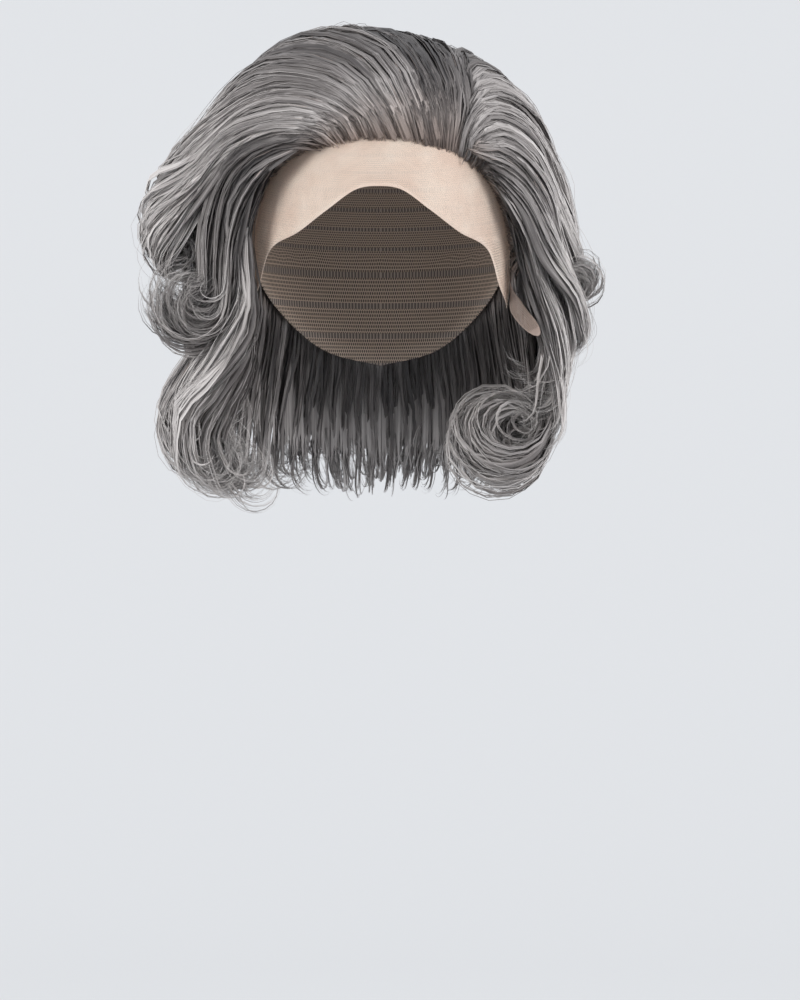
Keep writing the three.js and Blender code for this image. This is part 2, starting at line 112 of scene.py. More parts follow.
RIGHT_CURL = [
    ([(46, 102, 3), (47, 102, 15), (60, 110, 21), (73, 130, 25), (82, 152, 28), (86, 169, 32)],
     14, 10, 1.15, 12, 1),
    ([(50, 105, 3), (50, 107, 14), (62, 117, 19), (74, 140, 24), (83, 161, 28), (87, 176, 32)],
     14, 10, 1.1, 11, 1),
]
LEFT_FLIP = [
    ([(-29, 98, 3), (-32, 99, 16), (-47, 102, 21), (-63, 116, 27), (-71, 140, 30), (-73, 164, 29)],
     20, 11, 0.4, 22, 1),
    ([(-36, 100, 3), (-38, 102, 17), (-51, 109, 22), (-62, 126, 25), (-66, 154, 23), (-67, 178, 22)],
     22, 11, 0.62, 27, 1),
    ([(-45, 105, 3), (-46, 110, 16), (-54, 122, 20), (-60, 141, 21), (-63, 166, 19), (-64, 186, 21)],
     22, 11, 0.64, 26, 1),
    ([(-56, 113, 3), (-53, 120, 14), (-55, 136, 18), (-59, 154, 19), (-62, 175, 18), (-64, 190, 21)],
     22, 11, 0.6, 24, 1),
]
LEFT_WAVE = [
    ([(-62, 118, 3), (-57, 140, 14), (-58, 182, 14), (-64, 214, 26), (-71, 238, 40), (-75, 262, 42)],
     22, 12, -0.6, 17, 1),
    ([(-67, 122, 3), (-61, 156, 14), (-58, 202, 12), (-64, 230, 28), (-72, 252, 44), (-76, 276, 44)],
     24, 13, -0.55, 16, 1),
    ([(-82, 135, 4), (-78, 176, 12), (-72, 222, 4), (-75, 250, 14), (-78, 274, 18), (-77, 296, 8)],
     24, 13, -0.6, 12, 1),
    ([(-97, 96, 22), (-98, 128, 38), (-97, 170, 24), (-95, 212, 27), (-92, 246, 42), (-90, 272, 36)],
     30, 15, -0.6, 15, 0),
]
RIGHT_TEMPLE = [
    ([(60, 117, 3), (59, 126, 12), (66, 141, 17), (73, 166, 20), (78, 194, 28), (82, 220, 32)],
     20, 11, -0.35, 15, 1),
    ([(75, 140, 4), (73, 152, 9), (76, 174, 13), (79, 198, 21), (83, 220, 28), (86, 240, 29)],
     22, 12, -0.3, 16, 1),
    ([(97, 110, 22), (97, 138, 34), (96, 168, 33), (96, 196, 37), (94, 220, 36), (92, 240, 28)],
     28, 13, -0.3, 16, 0),
]
RIGHT_BARREL = [
    ([(104, 150, 12), (101, 180, 20), (97, 208, 26), (93, 234, 27), (89, 252, 25), (86, 265, 22)],
     18, 12, -1.2, 27, 0),
    ([(118, 150, 14), (115, 180, 22), (111, 212, 28), (107, 240, 25), (104, 256, 21), (101, 268, 17)],
     20, 12, -1, 23, 0),
]
LEFT_LOOPS = [
    ([(-70, 172, 20), (-73, 196, 25), (-75, 216, 34), (-77, 232, 44), (-79, 247, 50), (-79, 261, 47)],
     26, 16, -1.0, 14, 0),
    ([(-74, 182, 18), (-76, 204, 24), (-77, 224, 34), (-78, 242, 45), (-80, 258, 51), (-80, 271, 48)],
     26, 16, -1.1, 12, 0),
]
LEFT_UNDER = [
    ([(-66, 106, 10), (-72, 126, 18), (-77, 150, 24), (-79, 176, 24), (-80, 200, 24), (-81, 222, 22)],
     26, 12, -0.3, 16, 0),
    ([(-88, 92, 18), (-91, 122, 33), (-92, 152, 36), (-92, 180, 34), (-91, 206, 34), (-90, 232, 32)],
     30, 12, -0.5, 16, 0),
    ([(-104, 92, 18), (-105, 122, 36), (-105, 152, 40), (-105, 180, 37), (-104, 208, 37), (-103, 236, 34)],
     30, 12, -0.6, 16, 0),
]
RIGHT_UNDER = [
    ([(72, 108, 10), (78, 132, 16), (82, 158, 20), (84, 184, 22), (85, 208, 22), (86, 228, 20)],
     26, 12, -0.3, 16, 0),
    ([(94, 92, 18), (96, 124, 26), (97, 152, 28), (97, 180, 28), (96, 206, 26), (95, 228, 22)],
     30, 12, -0.3, 16, 0),
    ([(110, 96, 20), (110, 124, 29), (109, 152, 31), (108, 180, 31), (107, 206, 29), (106, 230, 25)],
     30, 12, -0.4, 16, 0),
]
TOP_LOOP = [
    ([(10, 44, 19), (4, 28, 25), (-20, 14, 30), (-80, 10, 32), (-110, 24, 31), (-112, 44, 30)],
     16, 8, -0.1, 24, 0),
    ([(-6, 40, 20), (-14, 24, 26), (-40, 16, 30), (-84, 18, 32), (-100, 32, 33), (-102, 52, 33)],
     16, 8, -0.1, 24, 0),
]
BACK = [
    ([(264, 100, 20), (262, 136, 34), (260, 172, 32), (259, 206, 34), (260, 242, 34), (262, 266, 39)],
     46, 16, -0.74, 14, 0),
    ([(246, 112, 18), (246, 146, 34), (246, 182, 32), (247, 214, 34), (248, 246, 34), (249, 270, 39)],
     48, 16, -0.78, 14, 0),
    ([(213, 112, 18), (213, 147, 34), (213, 184, 32), (213, 217, 34), (213, 248, 34), (213, 273, 39)],
     48, 16, -0.74, 14, 0),
    ([(180, 112, 18), (180, 148, 35), (180, 186, 32), (180, 220, 34), (180, 251, 34), (180, 276, 39)],
     48, 16, -0.78, 14, 0),
    ([(148, 112, 16), (148, 147, 33), (148, 183, 31), (147, 216, 33), (147, 248, 33), (148, 274, 38)],
     48, 16, -0.74, 14, 0),
    ([(124, 112, 14), (124, 146, 32), (123, 180, 29), (122, 212, 31), (121, 250, 25), (119, 284, 20)],
     42, 15, -0.8, 14, 0),
    ([(110, 120, 14), (110, 150, 28), (110, 184, 27), (110, 216, 28), (109, 256, 17), (107, 290, 9)],
     32, 13, -0.7, 12, 0),
]
BACK_MIDDLE = [
    ([(262, 84, 20), (260, 112, 34), (258, 140, 37), (257, 164, 38), (256, 186, 43), (256, 202, 48)],
     40, 10, -0.75, 15, 0),
    ([(236, 84, 20), (236, 114, 33), (236, 142, 36), (236, 168, 37), (236, 191, 42), (236, 208, 48)],
     40, 10, -0.7, 15, 0),
    ([(208, 84, 20), (208, 114, 32), (208, 143, 36), (208, 169, 37), (208, 193, 42), (208, 211, 48)],
     40, 10, -0.75, 15, 0),
    ([(180, 84, 20), (180, 114, 32), (180, 144, 36), (180, 170, 37), (180, 195, 42), (180, 213, 48)],
     40, 10, -0.7, 15, 0),
    ([(152, 84, 19), (152, 113, 31), (152, 142, 35), (152, 168, 36), (152, 192, 41), (152, 210, 47)],
     40, 10, -0.75, 15, 0),
    ([(126, 84, 18), (126, 112, 30), (126, 140, 34), (126, 166, 35), (126, 188, 40), (126, 205, 45)],
     40, 10, -0.7, 15, 0),
    ([(106, 84, 18), (106, 110, 29), (107, 138, 33), (107, 162, 34), (107, 183, 38), (106, 199, 42)],
     36, 10, -0.9, 14, 0),
]
CROWN_BACK = [
    ([(-75, 14, 19), (-95, 40, 25), (-104, 72, 32), (-106, 98, 38), (-106, 124, 43), (-106, 146, 48)],
     36, 8, -0.7, 15, 0),
    ([(-130, 8, 19), (-132, 38, 23), (-134, 70, 29), (-134, 98, 35), (-134, 126, 41), (-134, 150, 48)],
     36, 8, -0.66, 15, 0),
    ([(-180, 8, 19), (-180, 38, 22), (-180, 70, 27), (-180, 98, 34), (-180, 128, 40), (-180, 153, 48)],
     36, 8, -0.7, 15, 0),
    ([(-225, 8, 19), (-226, 38, 22), (-227, 70, 26), (-228, 98, 32), (-228, 126, 38), (-228, 150, 46)],
     36, 8, -0.66, 15, 0),
    ([(-270, 20, 19), (-256, 42, 23), (-250, 72, 26), (-248, 98, 30), (-248, 122, 35), (-248, 144, 42)],
     36, 8, -0.95, 14, 0),
]
TOP_LEFT = [
    ([(29, 95, 4), (24, 79, 15), (13, 39, 24), (-64, 24, 30), (-110, 61, 38), (-115, 105, 44)],
     24, 10, -0.5, 20, 1),
    ([(30, 95, 4), (25, 78, 16), (13, 35, 26), (-80, 20, 29), (-124, 60, 34), (-128, 104, 42)],
     24, 10, -0.5, 20, 1),
    ([(33, 96, 4), (31, 78, 16), (25, 36, 26), (-110, 12, 27), (-154, 54, 31), (-156, 106, 40)],
     24, 10, -0.5, 20, 1),
    ([(37, 98, 4), (36, 76, 16), (34, 32, 25), (-144, 8, 24), (-178, 52, 29), (-180, 106, 39)],
     24, 10, -0.5, 20, 1),
]
TOP_RIGHT = [
    ([(37, 98, 4), (38, 76, 16), (42, 35, 25), (152, 8, 27), (178, 52, 30), (180, 106, 39)],
     24, 10, -0.5, 20, 1),
    ([(41, 99, 4), (43, 80, 15), (51, 46, 25), (112, 20, 29), (148, 56, 31), (150, 104, 38)],
     24, 10, -0.5, 20, 1),
    ([(44, 101, 4), (47, 84, 15), (57, 58, 23), (88, 42, 27), (118, 66, 31), (122, 106, 37)],
     24, 10, -0.5, 19, 1),
    ([(46, 101, 4), (50, 87, 14), (58, 62, 22), (78, 50, 29), (106, 70, 33), (113, 110, 37)],
     24, 10, -0.5, 19, 1),
]
NAPE_HAIR = [
    ([(-88, 158, 2), (-88, 178, 6), (-88, 198, 10), (-88, 218, 13), (-88, 236, 15), (-88, 252, 14)],
     12, 10, -0.3, 16, 0),
    ([(-120, 172, 2), (-120, 194, 6), (-120, 216, 11), (-120, 238, 15), (-120, 258, 19), (-120, 276, 20)],
     12, 10, -0.4, 14, 0),
    ([(-180, 208, 2), (-180, 224, 6), (-180, 240, 11), (-180, 256, 16), (-180, 271, 20), (-180, 285, 22)],
     12, 10, -0.4, 14, 0),
    ([(-240, 172, 2), (-240, 194, 6), (-240, 216, 11), (-240, 238, 15), (-240, 258, 19), (-240, 276, 20)],
     12, 10, -0.4, 14, 0),
    ([(-272, 158, 2), (-272, 178, 6), (-272, 198, 10), (-272, 218, 13), (-272, 236, 15), (-272, 252, 14)],
     12, 10, -0.3, 16, 0),
]

# Zones of hair. Columns: name, guides, the node that the zone stands for, locks under the wisps, wisps,
# strands, flyaways, clumps that the wisps gather in, and points along the length and along the curl.
ZONES = [
    ("front_left", FRONT_LEFT, "hair_front_left", 11, 420, 540, 48, 30, 12, 12),
    ("front_right", FRONT_RIGHT, "hair_front_right", 9, 350, 450, 40, 28, 15, 9),
    ("right_curl", RIGHT_CURL, None, 0, 90, 90, 8, 6, 12, 14),
    ("top_left", TOP_LEFT, None, 0, 180, 140, 12, 15, 14, 5),
    ("top_right", TOP_RIGHT, None, 0, 170, 130, 12, 15, 14, 5),
    ("top_loop", TOP_LOOP, None, 0, 12, 50, 12, 6, 12, 2),
    ("left_flip", LEFT_FLIP, "hair_left", 6, 215, 280, 24, 14, 10, 11),
    ("left_wave", LEFT_WAVE, None, 7, 250, 300, 24, 20, 15, 10),
    ("left_loops", LEFT_LOOPS, None, 0, 36, 100, 10, 9, 10, 14),
    ("left_under", LEFT_UNDER, None, 0, 140, 40, 0, 14, 11, 5),
    ("right_under", RIGHT_UNDER, None, 0, 125, 40, 0, 15, 11, 4),
    ("right_temple", RIGHT_TEMPLE, "hair_right", 5, 200, 260, 20, 14, 13, 7),
    ("right_barrel", RIGHT_BARREL, None, 4, 190, 240, 20, 10, 9, 16),
    ("back", BACK, "hair_back", 13, 320, 140, 12, 18, 14, 12),
    ("back_middle", BACK_MIDDLE, None, 0, 250, 160, 12, 16, 13, 8),
    ("crown_back", CROWN_BACK, None, 0, 190, 100, 12, 15, 13, 8),
    ("nape", NAPE_HAIR, None, 0, 320, 40, 0, 44, 8, 7),
]

# How the hair of a zone lies: wave of the clumps and spread of their lengths (mm), tones from the first guide
# to the last, share by which the curls close in, share of the clumps that curl the other way, share of the
# length where the wisps begin to thin, and the power by which their points draw together at the root.
ZONE_HABITS = dict(
    front_left=dict(wave=1.8, tone=(-0.14, 0.24), stagger=4, close=0.35),
    front_right=dict(wave=1.8, tone=(0.02, 0.24, 0.07), stagger=4, close=0.3, ease=1.25),
    right_curl=dict(wave=1.0, tone=(0.1, 0.1), stagger=2, close=0.5),
    top_left=dict(wave=3.5, tone=(-0.29, -0.31), stagger=12, close=0.4),
    top_right=dict(wave=3.5, tone=(-0.27, -0.12), stagger=12, close=0.4),
    top_loop=dict(wave=1.6, tone=(0.02, 0.02), stagger=4, close=0.3),
    left_flip=dict(wave=1.4, tone=(-0.22, -0.18), stagger=4, close=0.5),
    left_wave=dict(wave=2.2, tone=(0.3, -0.05), stagger=5, close=0.4),
    left_loops=dict(wave=1.6, tone=(0.24, 0.24), stagger=6, close=0.4),
    left_under=dict(wave=4.0, tone=(-0.04, -0.02), stagger=7, close=0.3),
    right_under=dict(wave=2.6, tone=(0.0, 0.06), stagger=8, close=0.3),
    right_temple=dict(wave=2.2, tone=(0.08, 0.2), stagger=7, close=0.3),
    right_barrel=dict(wave=1.2, tone=(0.05, 0.03), stagger=4, close=0.62),
    back=dict(wave=6.5, tone=(0.05, 0.05), stagger=8, close=0.45, flips=0.12, thin=0.36),
    back_middle=dict(wave=6.0, tone=(0.06, 0.07), stagger=13, close=0.45, thin=0.36),
    crown_back=dict(wave=5.0, tone=(0.02, 0.06), stagger=13, close=0.45, thin=0.36),
    nape=dict(wave=1.4, tone=(-0.12, -0.12), stagger=3, close=0.3, thin=0.5),
)

# Zones whose roots lie in the shade of other hair, with the share of the map where they start. Their map
# starts where the shade along the length is darker, so these roots are painted darker, as painted shade.
SHADED_ROOTS = dict(front_right=0.2)

# Fine roots along the hairline: zone, guides and how many.
ROOTS = [("front_left", FRONT_LEFT, 220), ("front_right", FRONT_RIGHT[2:], 150), ("top_left", TOP_LEFT, 110),
         ("top_right", TOP_RIGHT, 70), ("left_flip", LEFT_FLIP, 130), ("left_wave", LEFT_WAVE[:3], 120),
         ("right_temple", RIGHT_TEMPLE[:2], 100)]

# Habits of wisps, strands, roots and packed locks: sizes in mm, spreads, and shares of length or width.
# Wisps lying deeper in a lock are painted darker, as painted shade.
WISP = dict(sides=3, gathers=0.66, gathers_from=0.08, gathered_at=0.55, before_hairline=1.5,
            behind_hairline=3.5, root_lift=1.2, length_spread=3, turn_spread=0.14, radius_spread=0.1,
            widest_curl=1.05, flipped_turn=-0.8, flipped_radius=0.55, top=0.7, depth=1.7, depth_power=1.5,
            phases=3, phase_spread=0.9, sway_from=0.15, sway_full=0.5, rises_by=0.16, side_spread=0.5,
            clumps_apart=10, sway_up=0.5, twist=0.28, tip_twist=0.4, root_width=0.5, full_width_at=0.25,
            tip_width=0.36, width=(1.5, 3.0), guide_width=26, width_range=(0.6, 1.15),
            flatness=(0.16, 0.28), shade_spread=0.07, painted_depth_shade=0.1)
STRAND = dict(sides=3, radius=0.24, radius_spread=0.15, from_root=0.7, latest_start=0.2, ends=(0.78, 1.0),
              beside=0.75, above=(0.2, 1.5), strays_from=0.4, stray_side=1.6, stray_up=1.2, root_width=0.6,
              tip_width=0.3, lighter=0.07, shade_spread=0.14)
FLYAWAY = dict(loose=3.2, size=0.5)
ROOT = dict(points=7, of_points=26, turn_spread=1.5, fall_spread=4, lift=0.9, shake=(1.5, 2.5, 1.2),
            width=(0.45, 0.75), tip_width=0.35, shade=0.36, shade_spread=0.1, shade_range=(0.05, 0.95),
            map_height=0.25)
LOCK = dict(sides=8, finer=2, width=0.8, thickness=0.42, root=0.35, tip=0.04)
WISP_SWAYS = dict(side=((1.3, 0.8), (3.1, 0.3)), up=((1.3, 0.6), (3.1, 0.25)))
STRAND_SWAYS = dict(side=((1.1, 0.9), (2.7, 0.3)), up=((1.1, 0.7), (2.7, 0.25)))
ROOT_SWAYS = ((0.8, 0.8), (1.7, 0.3))
WAVE_LENGTH = 100.0
CURL_CLOSES_TO, SHORTEST_CURL_STEP = 0.6, 0.8
CURVE_STEPS = 8

# Shades are columns of the hair's map, each with a margin.
SHADES = 48
COLUMN_MARGIN = 0.06
MIDDLE_SHADE = 0.5
SHADE_RANGE = (0.02, 0.98)

# Greys from charcoal to silver, how the shade changes from root to tip, and the brown of the roots.
GREYS = [(0.0, (0.036, 0.033, 0.034)), (0.3, (0.115, 0.104, 0.102)), (0.55, (0.25, 0.232, 0.228)),
         (0.8, (0.43, 0.406, 0.398)), (1.0, (0.56, 0.535, 0.525))]
SHADE_ALONG = [(0.0, 0.65), (0.1, 0.52), (0.2, 0.3), (0.44, 0.39), (0.67, 0.66), (1.0, 0.91)]
ROOT_BROWN, BROWN_LENGTH = (1.0, 0.87, 0.80, 1), 0.13


# Curves and forms.
def smooth(x, low, high):
    """0 below low, 1 above high, and an S curve between them."""
    t = np.clip((x - low) / (high - low), 0, 1)
    return t * t * (3 - 2 * t)


def mix(a, b, t):
    """The value a share t of the way from a to b."""
    return a + (b - a) * t


def table_at(rows, turn):
    """A cubic curve through the rows of a table, each row's slope taken from its neighbours, read at any
    turn."""
    keys, values = np.array(rows, float).T
    around = np.abs((np.asarray(turn, float) + 180) % 360 - 180)
    i = np.clip(np.searchsorted(keys, around) - 1, 0, len(keys) - 2)
    before = np.concatenate([[0], values[:-2], values[-2:-1]])
    after = np.concatenate([values[1:2], values[2:], values[-1:]])
    reach = np.concatenate([[1], keys[2:] - keys[:-2], keys[-1:] - keys[-2:-1]])
    slopes = (after - before) / reach
    slopes[0] = 0
    span = keys[i + 1] - keys[i]
    t = (around - keys[i]) / span
    straight = mix(values[i], values[i + 1], t * t * (3 - 2 * t))
    return straight + t * (1 - t) * span * ((1 - t) * slopes[i] - t * slopes[i + 1])


def tilt_at(height):
    """The angle down from the crown at a height: its arc cosine above the widest level, arc sine
    below."""
    above = np.asarray(height, float) + CROWN
    upper = np.arccos(np.clip(above / CROWN, 0, 1))
    lower = np.pi / 2 + np.arcsin(np.clip(-above / LOWER, 0, 1))
    return np.where(above > 0, upper, lower)


def cap_point(turn, tilt, off):
    """A point of the cap's ellipsoid, by the angle round it and down from the crown, its half axes grown
    by off."""
    around = np.radians(turn)
    rise = np.where(np.cos(tilt) > 0, CROWN, LOWER) + off
    return np.stack(np.broadcast_arrays((HALF_BREADTH + off) * np.sin(tilt) * np.sin(around),
                                        -(HALF_LENGTH + off) * np.sin(tilt) * np.cos(around),
                                        rise * np.cos(tilt) - CROWN), -1)


def hair_point(turn, fall, lift):
    """A point of the hair: on the dome by an even share of its fall, straight down past the widest
    level."""
    tilt = np.minimum(fall, DOME_FALL) / DOME_FALL * np.pi / 2
    around = np.radians(turn)
    drop = np.maximum(0, fall - DOME_FALL)
    return np.stack(np.broadcast_arrays((HALF_BREADTH + lift) * np.sin(tilt) * np.sin(around),
                                        -(HALF_LENGTH + lift) * np.sin(tilt) * np.cos(around),
                                        (CROWN + lift) * np.cos(tilt) - CROWN - drop), -1)


def unit(v):
    """Vectors made one long."""
    return v / np.maximum(np.linalg.norm(v, axis=-1, keepdims=True), 1e-9)


def square_to(v, along):
    """Vectors made square to a direction and one long."""
    return unit(v - along * (v * along).sum(-1, keepdims=True))


def outwards(at):
    """The way out of the cap's form: the slope of its ellipsoid, level below the widest height."""
    rise = np.maximum(0, at[..., 2] + CROWN)
    slope = (at[..., 0] / HALF_BREADTH ** 2, at[..., 1] / HALF_LENGTH ** 2, rise / CROWN ** 2)
    return unit(np.stack(slope, -1))


# Meshes.
def make_piece(name, points, quads, material, triangles=None, uv=None, values=None, net=None):
    """A mesh object from points in millimetres and faces by index, with corner maps and point values."""
    mesh = bpy.data.meshes.new(name)
    triangles = np.zeros((0, 3), int) if triangles is None else triangles
    corners = np.concatenate([quads.ravel(), triangles.ravel()]).astype(np.int32)
    starts = np.concatenate([np.arange(len(quads)) * 4, len(quads) * 4 + np.arange(len(triangles)) * 3])
    mesh.vertices.add(len(points))
    mesh.vertices.foreach_set("co", (np.asarray(points) * MM).astype(np.float32).ravel())
    mesh.loops.add(len(corners))
    mesh.loops.foreach_set("vertex_index", corners)
    mesh.polygons.add(len(starts))
    mesh.polygons.foreach_set("loop_start", starts.astype(np.int32))
    mesh.polygons.foreach_set("use_smooth", np.ones(len(starts), bool))
    for layer, places in (("OFBake", uv), ("Net", net)):
        if places is not None:
            mesh.uv_layers.new(name=layer).data.foreach_set("uv", places.astype(np.float32).ravel())
    for key, numbers in (values or {}).items():
        data = mesh.attributes.new(key, "FLOAT", "POINT").data
        data.foreach_set("value", numbers.astype(np.float32).ravel())
    mesh.update(calc_edges=True)
    mesh.validate()
    mesh.materials.append(material)
    piece = bpy.data.objects.new(name, mesh)
    bpy.context.scene.collection.objects.link(piece)
    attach(piece, "root")
    return piece


def grid_quads(rows, columns, closed=False):
    """Faces of a grid of points stored row by row, with the last column joined to the first if it is
    closed."""
    r, c = np.meshgrid(np.arange(rows - 1), np.arange(columns if closed else columns - 1), indexing="ij")
    d = (c + 1) % columns
    here, below = r * columns, (r + 1) * columns
    return np.stack([here + c, here + d, below + d, below + c], -1).reshape(-1, 4)


def smooth_curve(points, steps, ease=1.0):
    """A centripetal curve through each row of points, read at even lengths, or at lengths that grow from
    the root by the power ease, with its direction at each reading."""
    first = 2 * points[:, :1] - points[:, 1:2]
    last = 2 * points[:, -1:] - points[:, -2:-1]
    p = np.concatenate([first, points, last], 1)
    gap = np.maximum(np.linalg.norm(np.diff(p, axis=1), axis=-1, keepdims=True), 1e-3) ** 0.5
    a, b, c, d = p[:, :-3], p[:, 1:-2], p[:, 2:-1], p[:, 3:]
    g0, g1, g2 = gap[:, :-2], gap[:, 1:-1], gap[:, 2:]
    leave = ((b - a) / g0 - (c - a) / (g0 + g1) + (c - b) / g1) * g1
    arrive = ((c - b) / g1 - (d - b) / (g1 + g2) + (d - c) / g2) * g1
    t = (np.arange(CURVE_STEPS) / CURVE_STEPS)[None, None, :, None]
    b, c, leave, arrive = (x[:, :, None] for x in (b, c, leave, arrive))
    fine = ((2 * t ** 3 - 3 * t ** 2 + 1) * b + (t ** 3 - 2 * t ** 2 + t) * leave
            + (3 * t ** 2 - 2 * t ** 3) * c + (t ** 3 - t ** 2) * arrive)
    fine = np.concatenate([fine.reshape(len(points), -1, 3), points[:, -1:]], 1)
    lengths = np.linalg.norm(np.diff(fine, axis=1), axis=-1)
    run = np.concatenate([np.zeros((len(points), 1)), np.cumsum(lengths, 1)], 1)
    want = run[:, -1:] * np.linspace(0, 1, steps)[None] ** ease
    i = np.clip((run[:, None, :] <= want[:, :, None]).sum(-1) - 1, 0, fine.shape[1] - 2)
    lane = np.arange(len(points))[:, None]
    share = ((want - run[lane, i]) / np.maximum(run[lane, i + 1] - run[lane, i], 1e-6))[..., None]
    at = mix(fine[lane, i], fine[lane, i + 1], share)
    return at, unit(np.gradient(at, axis=1))


# Lines of hair.
def guide_values(guides, place):
    """Stations and sizes at places along a zone, 0 the first guide and 1 the last, in straight steps."""
    stations = np.array([guide[0] for guide in guides], float)
    sizes = np.array([guide[1:] for guide in guides], float)
    at = np.asarray(place, float) * (len(guides) - 1)
    i = np.clip(np.floor(at).astype(int), 0, len(guides) - 2)
    share = at - i
    near = mix(stations[i], stations[i + 1], share[:, None, None])
    return near, mix(sizes[i], sizes[i + 1], share[:, None])


def lock_lines(stations, turns, radius, steps, curl_steps, ease=1.0):
    """Middle lines of locks: the smooth curve through the stations, then the curl, a circle that closes
    in as it turns. Gives the points, and the directions out of the cap's form and across the lock."""
    at, along = smooth_curve(hair_point(*np.moveaxis(stations, -1, 0)), steps, ease)
    out = square_to(outwards(at), along)
    points, alongs, outs = [at], [along], [out]
    at, along, out = at[:, -1], along[:, -1], out[:, -1]
    bend = (turns * 2 * np.pi / curl_steps)[:, None]
    for step in range(curl_steps):
        half = np.cos(bend / 2) * along + np.sin(bend / 2) * out
        size = radius[:, None] * mix(1, CURL_CLOSES_TO, step / curl_steps)
        at = at + half * np.maximum(size * np.abs(bend), SHORTEST_CURL_STEP)
        along, out = np.cos(bend) * along + np.sin(bend) * out, np.cos(bend) * out - np.sin(bend) * along
        for kept, new in ((points, at), (alongs, along), (outs, out)):
            kept.append(new[:, None])
    at, along, out = (np.concatenate(x, 1) for x in (points, alongs, outs))
    return at, out, np.cross(along, out)


def share_along(at):
    """How far along its length each point of a line lies, from 0 to 1, as the mean of all lines."""
    run = np.cumsum(np.linalg.norm(np.diff(at, axis=1), axis=-1), 1)
    return np.concatenate([[0], (run / run[:, -1:]).mean(0)])


def fullness(t):
    """How wide a lock is along its length: narrow at the root and at the tip."""
    return mix(0.6, 1, smooth(t, 0, 0.3)) * mix(1, 0.45, smooth(t, 0.7, 1))


def wander(count, t, sizes):
    """Smooth random sways: sines of a few lengths with random phases, growing from the root."""
    total = np.zeros((count, len(t)))
    for waves, size in sizes:
        phase = rng.uniform(0, 2 * np.pi, (count, 1))
        total = total + np.sin(2 * np.pi * waves * t[None] + phase) * rng.normal(0, size, (count, 1))
    return total * smooth(t, 0.05, 0.5)[None]


def frame_lines(at, out):
    """The directions out and across of lines, squared up after the lines were moved."""
    along = unit(np.gradient(at, axis=1))
    out = square_to(out, along)
    return out, np.cross(along, out)


def zone_wisps(guides, count, clumps, steps, curl_steps, wave, tone, stagger, close,
               flips=0, thin=0.64, ease=1):
    """Wisps of a zone. Each has its own place among the guides and gathers into its clump along its
    length. A clump sways in a wave from side to side, some curl the other way, the wisps lie at their own
    depth in the lock and curl by their own radius, and each is turned a little on itself. Deeper wisps are
    painted darker, as painted shade."""
    place = np.clip((np.arange(count) + rng.uniform(0, 1, count)) / count, 0, 1)
    clump_place = (np.arange(clumps) + rng.uniform(0.15, 0.85, clumps)) / clumps
    clump = np.abs(place[:, None] - clump_place[None]).argmin(1)
    bound = mix(place, clump_place[clump], WISP["gathers"])
    jitter = rng.exponential(WISP["behind_hairline"], count)
    longer = rng.normal(0, stagger, clumps)[clump] + rng.normal(0, WISP["length_spread"], count)
    way = np.where(rng.uniform(0, 1, clumps) < flips, WISP["flipped_turn"], 1)[clump]
    turns = way * rng.normal(1, WISP["turn_spread"], clumps)[clump]
    turns = turns * rng.normal(1, WISP["turn_spread"], count)
    radius = rng.normal(1, WISP["radius_spread"], clumps)[clump]
    radius = radius * (WISP["widest_curl"] - close * rng.uniform(0, 1, count))
    radius = radius * np.where(way < 0, WISP["flipped_radius"], 1)
    lines = []
    for spot in (place, bound):
        stations, sizes = guide_values(guides, spot)
        root = stations[:, 0]
        fall = table_at(HAIR_ENDS, root[:, 0]) + WISP["before_hairline"] - jitter
        hairline = np.stack([root[:, 0], fall, np.full(count, WISP["root_lift"])], -1)
        stations[:, 0] = mix(root, hairline, np.clip(sizes[:, 4:5], 0, 1))
        stations[:, -2:, 1] += longer[:, None] * [0.5, 1]
        lines.append(lock_lines(stations, sizes[:, 2] * turns, sizes[:, 3] * radius, steps, curl_steps, ease))
    t = share_along(lines[0][0])
    length = np.linalg.norm(np.diff(lines[0][0], axis=1), axis=-1).sum(1).mean()
    gather = smooth(t, WISP["gathers_from"], WISP["gathered_at"])[None, :, None]
    at, out, across = (mix(a, b, gather) for a, b in zip(*lines))
    deep = WISP["top"] - WISP["depth"] * rng.uniform(0, 1, count) ** WISP["depth_power"]
    phase = 2 * np.pi * WISP["phases"] * clump_place + rng.normal(0, WISP["phase_spread"], clumps)
    sway = np.sin(2 * np.pi * t[None] * length / WAVE_LENGTH + phase[clump][:, None]) * wave
    sway = sway * smooth(t, WISP["sway_from"], WISP["sway_full"])[None]
    rise = smooth(t, 0, WISP["rises_by"])[None]
    spread = sizes[:, :1] / 2 / max(1, clumps / WISP["clumps_apart"])
    spread = spread * rng.normal(0, WISP["side_spread"], (count, 1))
    sideways = spread + sway + wander(count, t, WISP_SWAYS["side"])
    upward = (deep[:, None] * sizes[:, 1:2] / 2 * fullness(t)[None] + WISP["sway_up"] * sway) * rise
    upward = upward + wander(count, t, WISP_SWAYS["up"]) * rise
    at = at + across * sideways[..., None] + out * upward[..., None]
    out, across = frame_lines(at, out)
    twist = rng.normal(0, WISP["twist"], (count, 1)) + rng.normal(0, WISP["tip_twist"], (count, 1)) * t[None]
    cos, sin = np.cos(twist)[..., None], np.sin(twist)[..., None]
    out, across = cos * out + sin * across, cos * across - sin * out
    taper = mix(WISP["root_width"], 1, smooth(t, 0, WISP["full_width_at"]))
    taper = taper * mix(1, WISP["tip_width"], smooth(t, thin, 1))
    wide = rng.uniform(*WISP["width"], (count, 1))
    wide = wide * np.clip(sizes[:, :1] / WISP["guide_width"], *WISP["width_range"]) * taper
    thick = wide * rng.uniform(*WISP["flatness"], (count, 1))
    shade = MIDDLE_SHADE + np.interp(place, np.linspace(0, 1, len(tone)), tone)
    shade = shade + WISP["shade_spread"] * rng.normal(0, 1, clumps)[clump]
    # Deeper wisps are painted darker: painted shade of the hair over them.
    shade = shade + rng.normal(0, WISP["shade_spread"], count) + WISP["painted_depth_shade"] * deep
    shade = np.clip(shade, *SHADE_RANGE)
    return dict(at=at, out=out, across=across, wide=wide, thick=thick, shade=shade, t=t)


